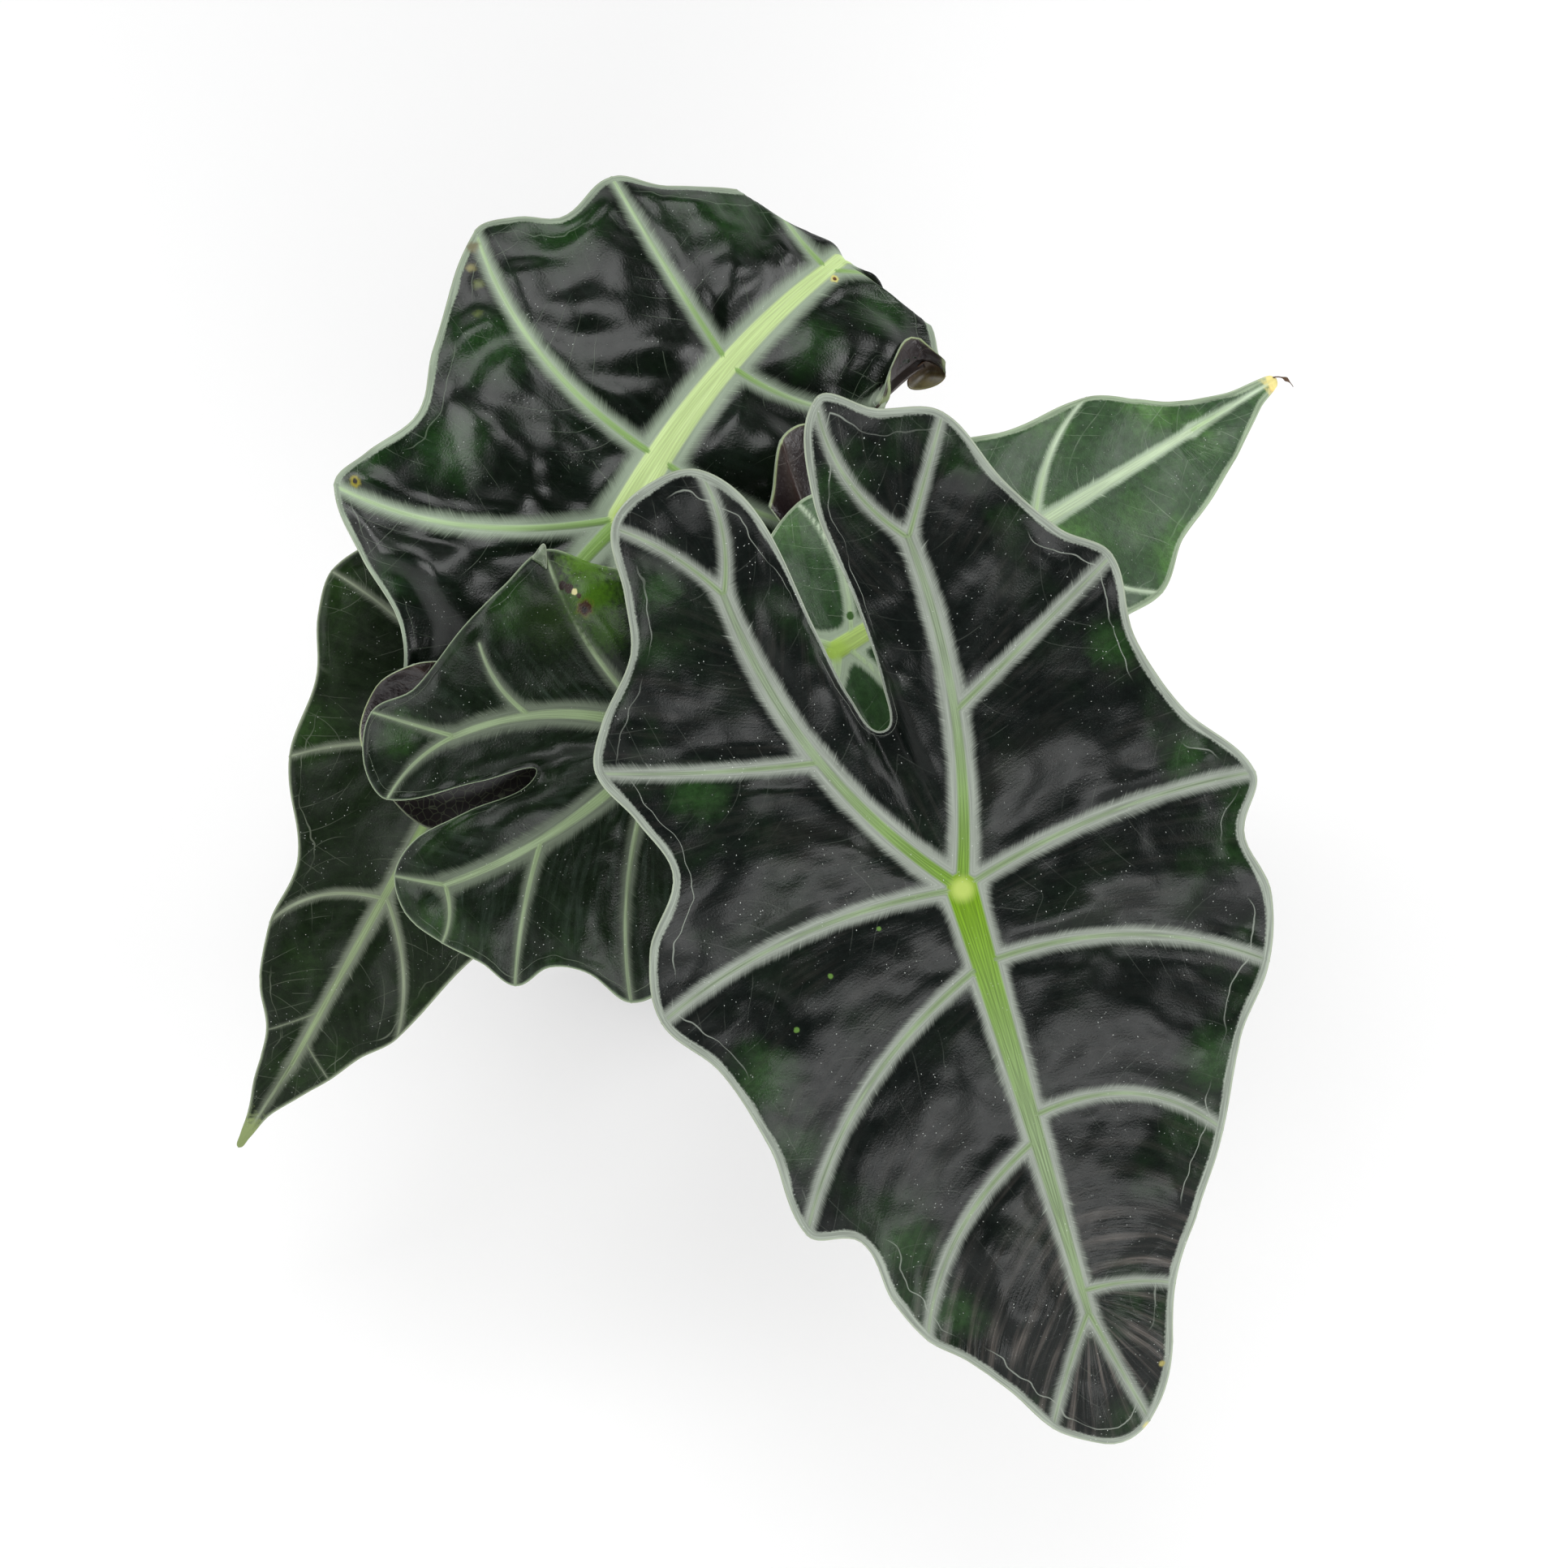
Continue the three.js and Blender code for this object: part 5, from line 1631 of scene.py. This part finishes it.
def soil_material(name, dark, pale, share):
    material, tree, shader = new_material(name)
    place = tree.object_place()
    grain = tree.group(shared("grain"), place=place, coarse=420, fine=2400)
    colour = tree.mix(tree.steps(grain["Blotch"], 0.3, 0.7), dark, pale)
    colour = tree.mix(tree.steps(grain["Grain"], 0.58, 0.7, 0.0, share), colour, linear((128, 104, 76)))
    tree.feed(shader["Base Color"], colour)
    tree.feed(shader["Roughness"], tree.fused(grain["Grain"], 0.3, 0.66))
    tree.feed(shader["Normal"], tree.bump(grain["Grain"], 0.0008, 0.9))
    return material


def build_soil(material):
    """The potting mix: a lumpy top, with sides just inside the pot's wall."""
    sides, rings = 144, 60
    edge = pot_wall_radius(SOIL_TOP) - 0.4
    angles = ring_angles(sides)
    points = [(0, 0, SOIL_TOP)]
    random = np.random.default_rng(7)
    for k in range(1, rings + 1):
        r = edge * k / rings
        x, y = r * np.cos(angles), r * np.sin(angles)
        lumps = 0.9 * np.sin(x * 0.33 + 1.2 * np.sin(y * 0.2)) + 0.8 * np.sin(y * 0.41 + x * 0.17)
        lumps += 0.5 * np.sin(x * 1.1 + y * 0.7) + random.normal(0, 0.28, sides)
        z = SOIL_TOP + lumps * 0.75 * (1 - 0.7 * smooth((r - edge + 4) / 4))
        points += list(zip(x, y, z))
    floor = pot_wall_radius(2.7) - 0.4
    points += [(floor * math.cos(t), floor * math.sin(t), 2.7) for t in angles]
    points.append((0, 0, 2.7))
    faces = []
    for j in range(sides):
        n = (j + 1) % sides
        faces.append([0, 1 + j, 1 + n])
        for k in range(rings):
            inner, outer = 1 + k * sides, 1 + (k + 1) * sides
            faces.append([inner + j, outer + j, outer + n, inner + n])
        last = 1 + rings * sides
        faces.append([last + j, len(points) - 1, last + n])
    piece = mesh_object("potting_mix", points, faces, [material])
    return settle(piece, "soil", "soil")


def scatter_tree(material):
    """Crumbs scattered on a surface: spheres squashed, turned and scaled at random."""
    group = bpy.data.node_groups.new("scatter_crumbs", "GeometryNodeTree")
    for key, kind, way in (
            ("Geometry", "NodeSocketGeometry", "INPUT"), ("Density", FLOAT, "INPUT"),
            ("Seed", "NodeSocketInt", "INPUT"), ("Smallest", FLOAT, "INPUT"),
            ("Largest", FLOAT, "INPUT"), ("Length", FLOAT, "INPUT"), ("Flatness", FLOAT, "INPUT"),
            ("Geometry", "NodeSocketGeometry", "OUTPUT")):
        group.interface.new_socket(name=key, in_out=way, socket_type=kind)
    tree = Tree(group)
    given = tree.add("NodeGroupInput").outputs
    out = tree.add("NodeGroupOutput").inputs
    spread = tree.add("GeometryNodeDistributePointsOnFaces", {
        "Mesh": given["Geometry"], "Density": given["Density"], "Seed": given["Seed"]})
    ball = tree.add("GeometryNodeMeshIcoSphere", {"Radius": 1.0, "Subdivisions": 2})
    rough = tree.add("ShaderNodeTexNoise", {"Scale": 1.3, "Detail": 1.0})
    centred = tree.add("ShaderNodeVectorMath", {0: rough.outputs["Color"], 1: (0.5, 0.5, 0.5)},
                       operation="SUBTRACT")
    push = tree.scaled(centred.outputs["Vector"], 1.3)
    lump = tree.add("GeometryNodeSetPosition", {"Geometry": ball.outputs["Mesh"], "Offset": push})
    shape = tree.vector(given["Length"], 1.0, given["Flatness"])
    squashed = tree.add("GeometryNodeTransform", {"Geometry": lump.outputs[0], "Scale": shape})
    size = tree.add("FunctionNodeRandomValue", {
        "Min": given["Smallest"], "Max": given["Largest"], "Seed": given["Seed"]})
    turn = tree.add("FunctionNodeRandomValue", {
        0: (-0.5, -0.5, 0.0), 1: (0.5, 0.5, 6.28), "Seed": given["Seed"]}, data_type="FLOAT_VECTOR")
    copies = tree.add("GeometryNodeInstanceOnPoints", {
        "Points": spread.outputs["Points"], "Instance": squashed.outputs[0],
        "Rotation": turn.outputs[0], "Scale": size.outputs[1]})
    real = tree.add("GeometryNodeRealizeInstances", {"Geometry": copies.outputs[0]})
    painted = tree.add("GeometryNodeSetMaterial", {"Geometry": real.outputs[0], "Material": material})
    tree.feed(out["Geometry"], painted.outputs[0])
    return group


def scatter_base():
    """The open part of the soil's top that crumbs lie on."""
    sides, rings = 48, 12
    inner, outer = 7.5, pot_wall_radius(SOIL_TOP) - 3
    points = []
    for k in range(rings + 1):
        r = inner + (outer - inner) * k / rings
        for j in range(sides):
            x, y = r * facing(360 * j / sides)
            points.append((x, y, SOIL_TOP + 0.5))
    return points, grid_faces(rings, sides, closed=True, flipped=True)


def build_crumbs(name, material, density, seed, smallest, largest, length, flatness):
    points, faces = scatter_base()
    base = mesh_object(f"{name}_base", points, faces, [])
    group = scatter_tree(material)
    modifier = base.modifiers.new("scatter", "NODES")
    modifier.node_group = group
    values = {"Density": density, "Seed": seed, "Smallest": smallest, "Largest": largest,
              "Length": length, "Flatness": flatness}
    for item in group.interface.items_tree:
        if item.in_out == "INPUT" and item.name in values:
            modifier[item.identifier] = values[item.name]
    base.update_tag()
    bpy.context.view_layer.update()
    piece = plain_mesh(base, name)
    return settle(piece, "soil")


# ------------------------------------------------------------------ stage
def build_floor():
    material, tree, shader = new_material("floor_paint")
    place = tree.object_place()
    pale = (*settings().floor_colour, 1)
    colour = tree.mix(tree.noise(place, 3.0, 2.0), pale, tuple(c * 0.985 for c in pale[:3]) + (1,))
    tree.feed(shader["Base Color"], colour)
    shader["Roughness"].default_value = 0.9
    size = 1000
    points = [(-size, -size, -0.5), (size, -size, -0.5), (size, size, -0.5), (-size, size, -0.5)]
    floor = mesh_object("floor", points, [[0, 1, 2, 3]], [material])


def add_light(name, turn, rise, size, power):
    """A softbox two metres from the plant, at a heading and height in degrees."""
    flat = 2 * math.cos(math.radians(rise))
    place = Vector((*(flat * facing(turn)), 2 * math.sin(math.radians(rise)) + 0.2))
    data = bpy.data.lights.new(name, "AREA")
    data.shape = "RECTANGLE"
    data.size, data.size_y = size
    data.energy = power
    light = bpy.data.objects.new(name, data)
    light.location = place
    light.rotation_euler = (Vector((0, -0.05, 0.2)) - place).to_track_quat("-Z", "Y").to_euler()
    bpy.context.scene.collection.objects.link(light)


def add_camera():
    rise = math.radians(CAMERA_ELEVATION)
    right = Vector((1, 0, 0))
    up = Vector((0, math.sin(rise), math.cos(rise)))
    back = Vector((0, -math.cos(rise), math.sin(rise)))
    data = bpy.data.cameras.new("camera")
    data.lens = CAMERA_LENS
    data.sensor_width = 36
    data.sensor_fit = "HORIZONTAL"
    data.clip_end = 20
    camera = bpy.data.objects.new("camera", data)
    place = Vector((0, 0, POT_HEIGHT)) + right * CAMERA_RIGHT + up * CAMERA_UP + back * CAMERA_DISTANCE
    turn = Matrix((right, up, back)).transposed().to_4x4()
    camera.matrix_world = Matrix.Translation(place * MM) @ turn
    bpy.context.scene.collection.objects.link(camera)
    bpy.context.scene.camera = camera


def light_world():
    """A studio that is bright low down and dark overhead, shown without a film curve."""
    world = bpy.data.worlds.new("studio")
    world.use_nodes = True
    tree = Tree(world.node_tree)
    way = tree.add("ShaderNodeTexCoord").outputs["Generated"]
    rise = tree.add("ShaderNodeSeparateXYZ", {0: way}).outputs["Z"]
    background = world.node_tree.nodes["Background"].inputs
    tree.feed(background["Strength"], tree.steps(rise, 0.2, 0.6, 1.0, 0.05))
    background["Color"].default_value = (1, 1, 1, 1)
    bpy.context.scene.world = world
    bpy.context.scene.view_settings.view_transform = "Standard"


# ------------------------------------------------------------------ operators
class AlocasiaStage(bpy.types.Operator):
    """Adds the floor, the lights and the camera"""
    bl_idname = "alocasia.stage"
    bl_label = "Stage"

    def execute(self, context):
        add_camera()
        build_floor()
        light_world()
        for name, turn, rise, size, power in STUDIO_LIGHTS:
            add_light(name, turn, rise, size, power)
        return {"FINISHED"}


class AlocasiaBlades(bpy.types.Operator):
    """Builds the five leaf blades"""
    bl_idname = "alocasia.blades"
    bl_label = "Leaf Blades"

    def execute(self, context):
        for name, leaf in LEAVES.items():
            build_blade(name, leaf, LOOKS[name])
        for name, curl in CURLS.items():
            build_curl(name, curl)
        build_thread()
        return {"FINISHED"}


class AlocasiaStalks(bpy.types.Operator):
    """Builds the leaf stalks"""
    bl_idname = "alocasia.stalks"
    bl_label = "Leaf Stalks"

    def execute(self, context):
        material = stalk_material()
        for name, leaf in LEAVES.items():
            build_stalk(name, leaf, material)
        return {"FINISHED"}


class AlocasiaCrown(bpy.types.Operator):
    """Builds the crown and its dry sheaths"""
    bl_idname = "alocasia.crown"
    bl_label = "Crown"

    def execute(self, context):
        material = crown_material()
        build_crown(material)
        build_scales(material)
        return {"FINISHED"}


class AlocasiaPot(bpy.types.Operator):
    """Builds the nursery pot"""
    bl_idname = "alocasia.pot"
    bl_label = "Pot"

    def execute(self, context):
        build_pot(pot_material())
        return {"FINISHED"}


class AlocasiaSoil(bpy.types.Operator):
    """Builds the potting mix with its bark and perlite"""
    bl_idname = "alocasia.soil"
    bl_label = "Potting Mix"

    def execute(self, context):
        dark = (*settings().soil_colour, 1)
        build_soil(soil_material("potting_mix", dark, linear((74, 56, 40)), 0.5))
        bark = soil_material("bark", linear((66, 44, 28)), linear((118, 84, 54)), 0.4)
        perlite = soil_material("perlite", linear((200, 198, 190)), linear((236, 234, 228)), 0.1)
        peat = bpy.data.materials["potting_mix"]
        build_crumbs("bark_chips", bark, settings().bark_density, *BARK_SHAPE)
        build_crumbs("peat_crumbs", peat, PEAT_DENSITY, *PEAT_SHAPE)
        build_crumbs("perlite_grains", perlite, settings().perlite_density, *PERLITE_SHAPE)
        return {"FINISHED"}


class AlocasiaPanel(bpy.types.Panel):
    bl_idname = "VIEW3D_PT_alocasia"
    bl_label = "Potted Alocasia"
    bl_space_type = "VIEW_3D"
    bl_region_type = "UI"
    bl_category = "Alocasia"

    def draw(self, context):
        layout = self.layout
        for name in AlocasiaSettings.__annotations__:
            layout.prop(context.scene.alocasia, name)
        for operator in OPERATORS:
            layout.operator(operator.bl_idname)


OPERATORS = (AlocasiaStage, AlocasiaBlades, AlocasiaStalks, AlocasiaCrown, AlocasiaSoil, AlocasiaPot)
CLASSES = (AlocasiaSettings, *OPERATORS, AlocasiaPanel)


def register():
    for item in CLASSES:
        bpy.utils.register_class(item)
    bpy.types.Scene.alocasia = bpy.props.PointerProperty(type=AlocasiaSettings)


def unregister():
    del bpy.types.Scene.alocasia
    for item in reversed(CLASSES):
        bpy.utils.unregister_class(item)


def main():
    register()
    for operator in OPERATORS:
        group, name = operator.bl_idname.split(".")
        getattr(getattr(bpy.ops, group), name)()


if __name__ == "__main__":
    main()
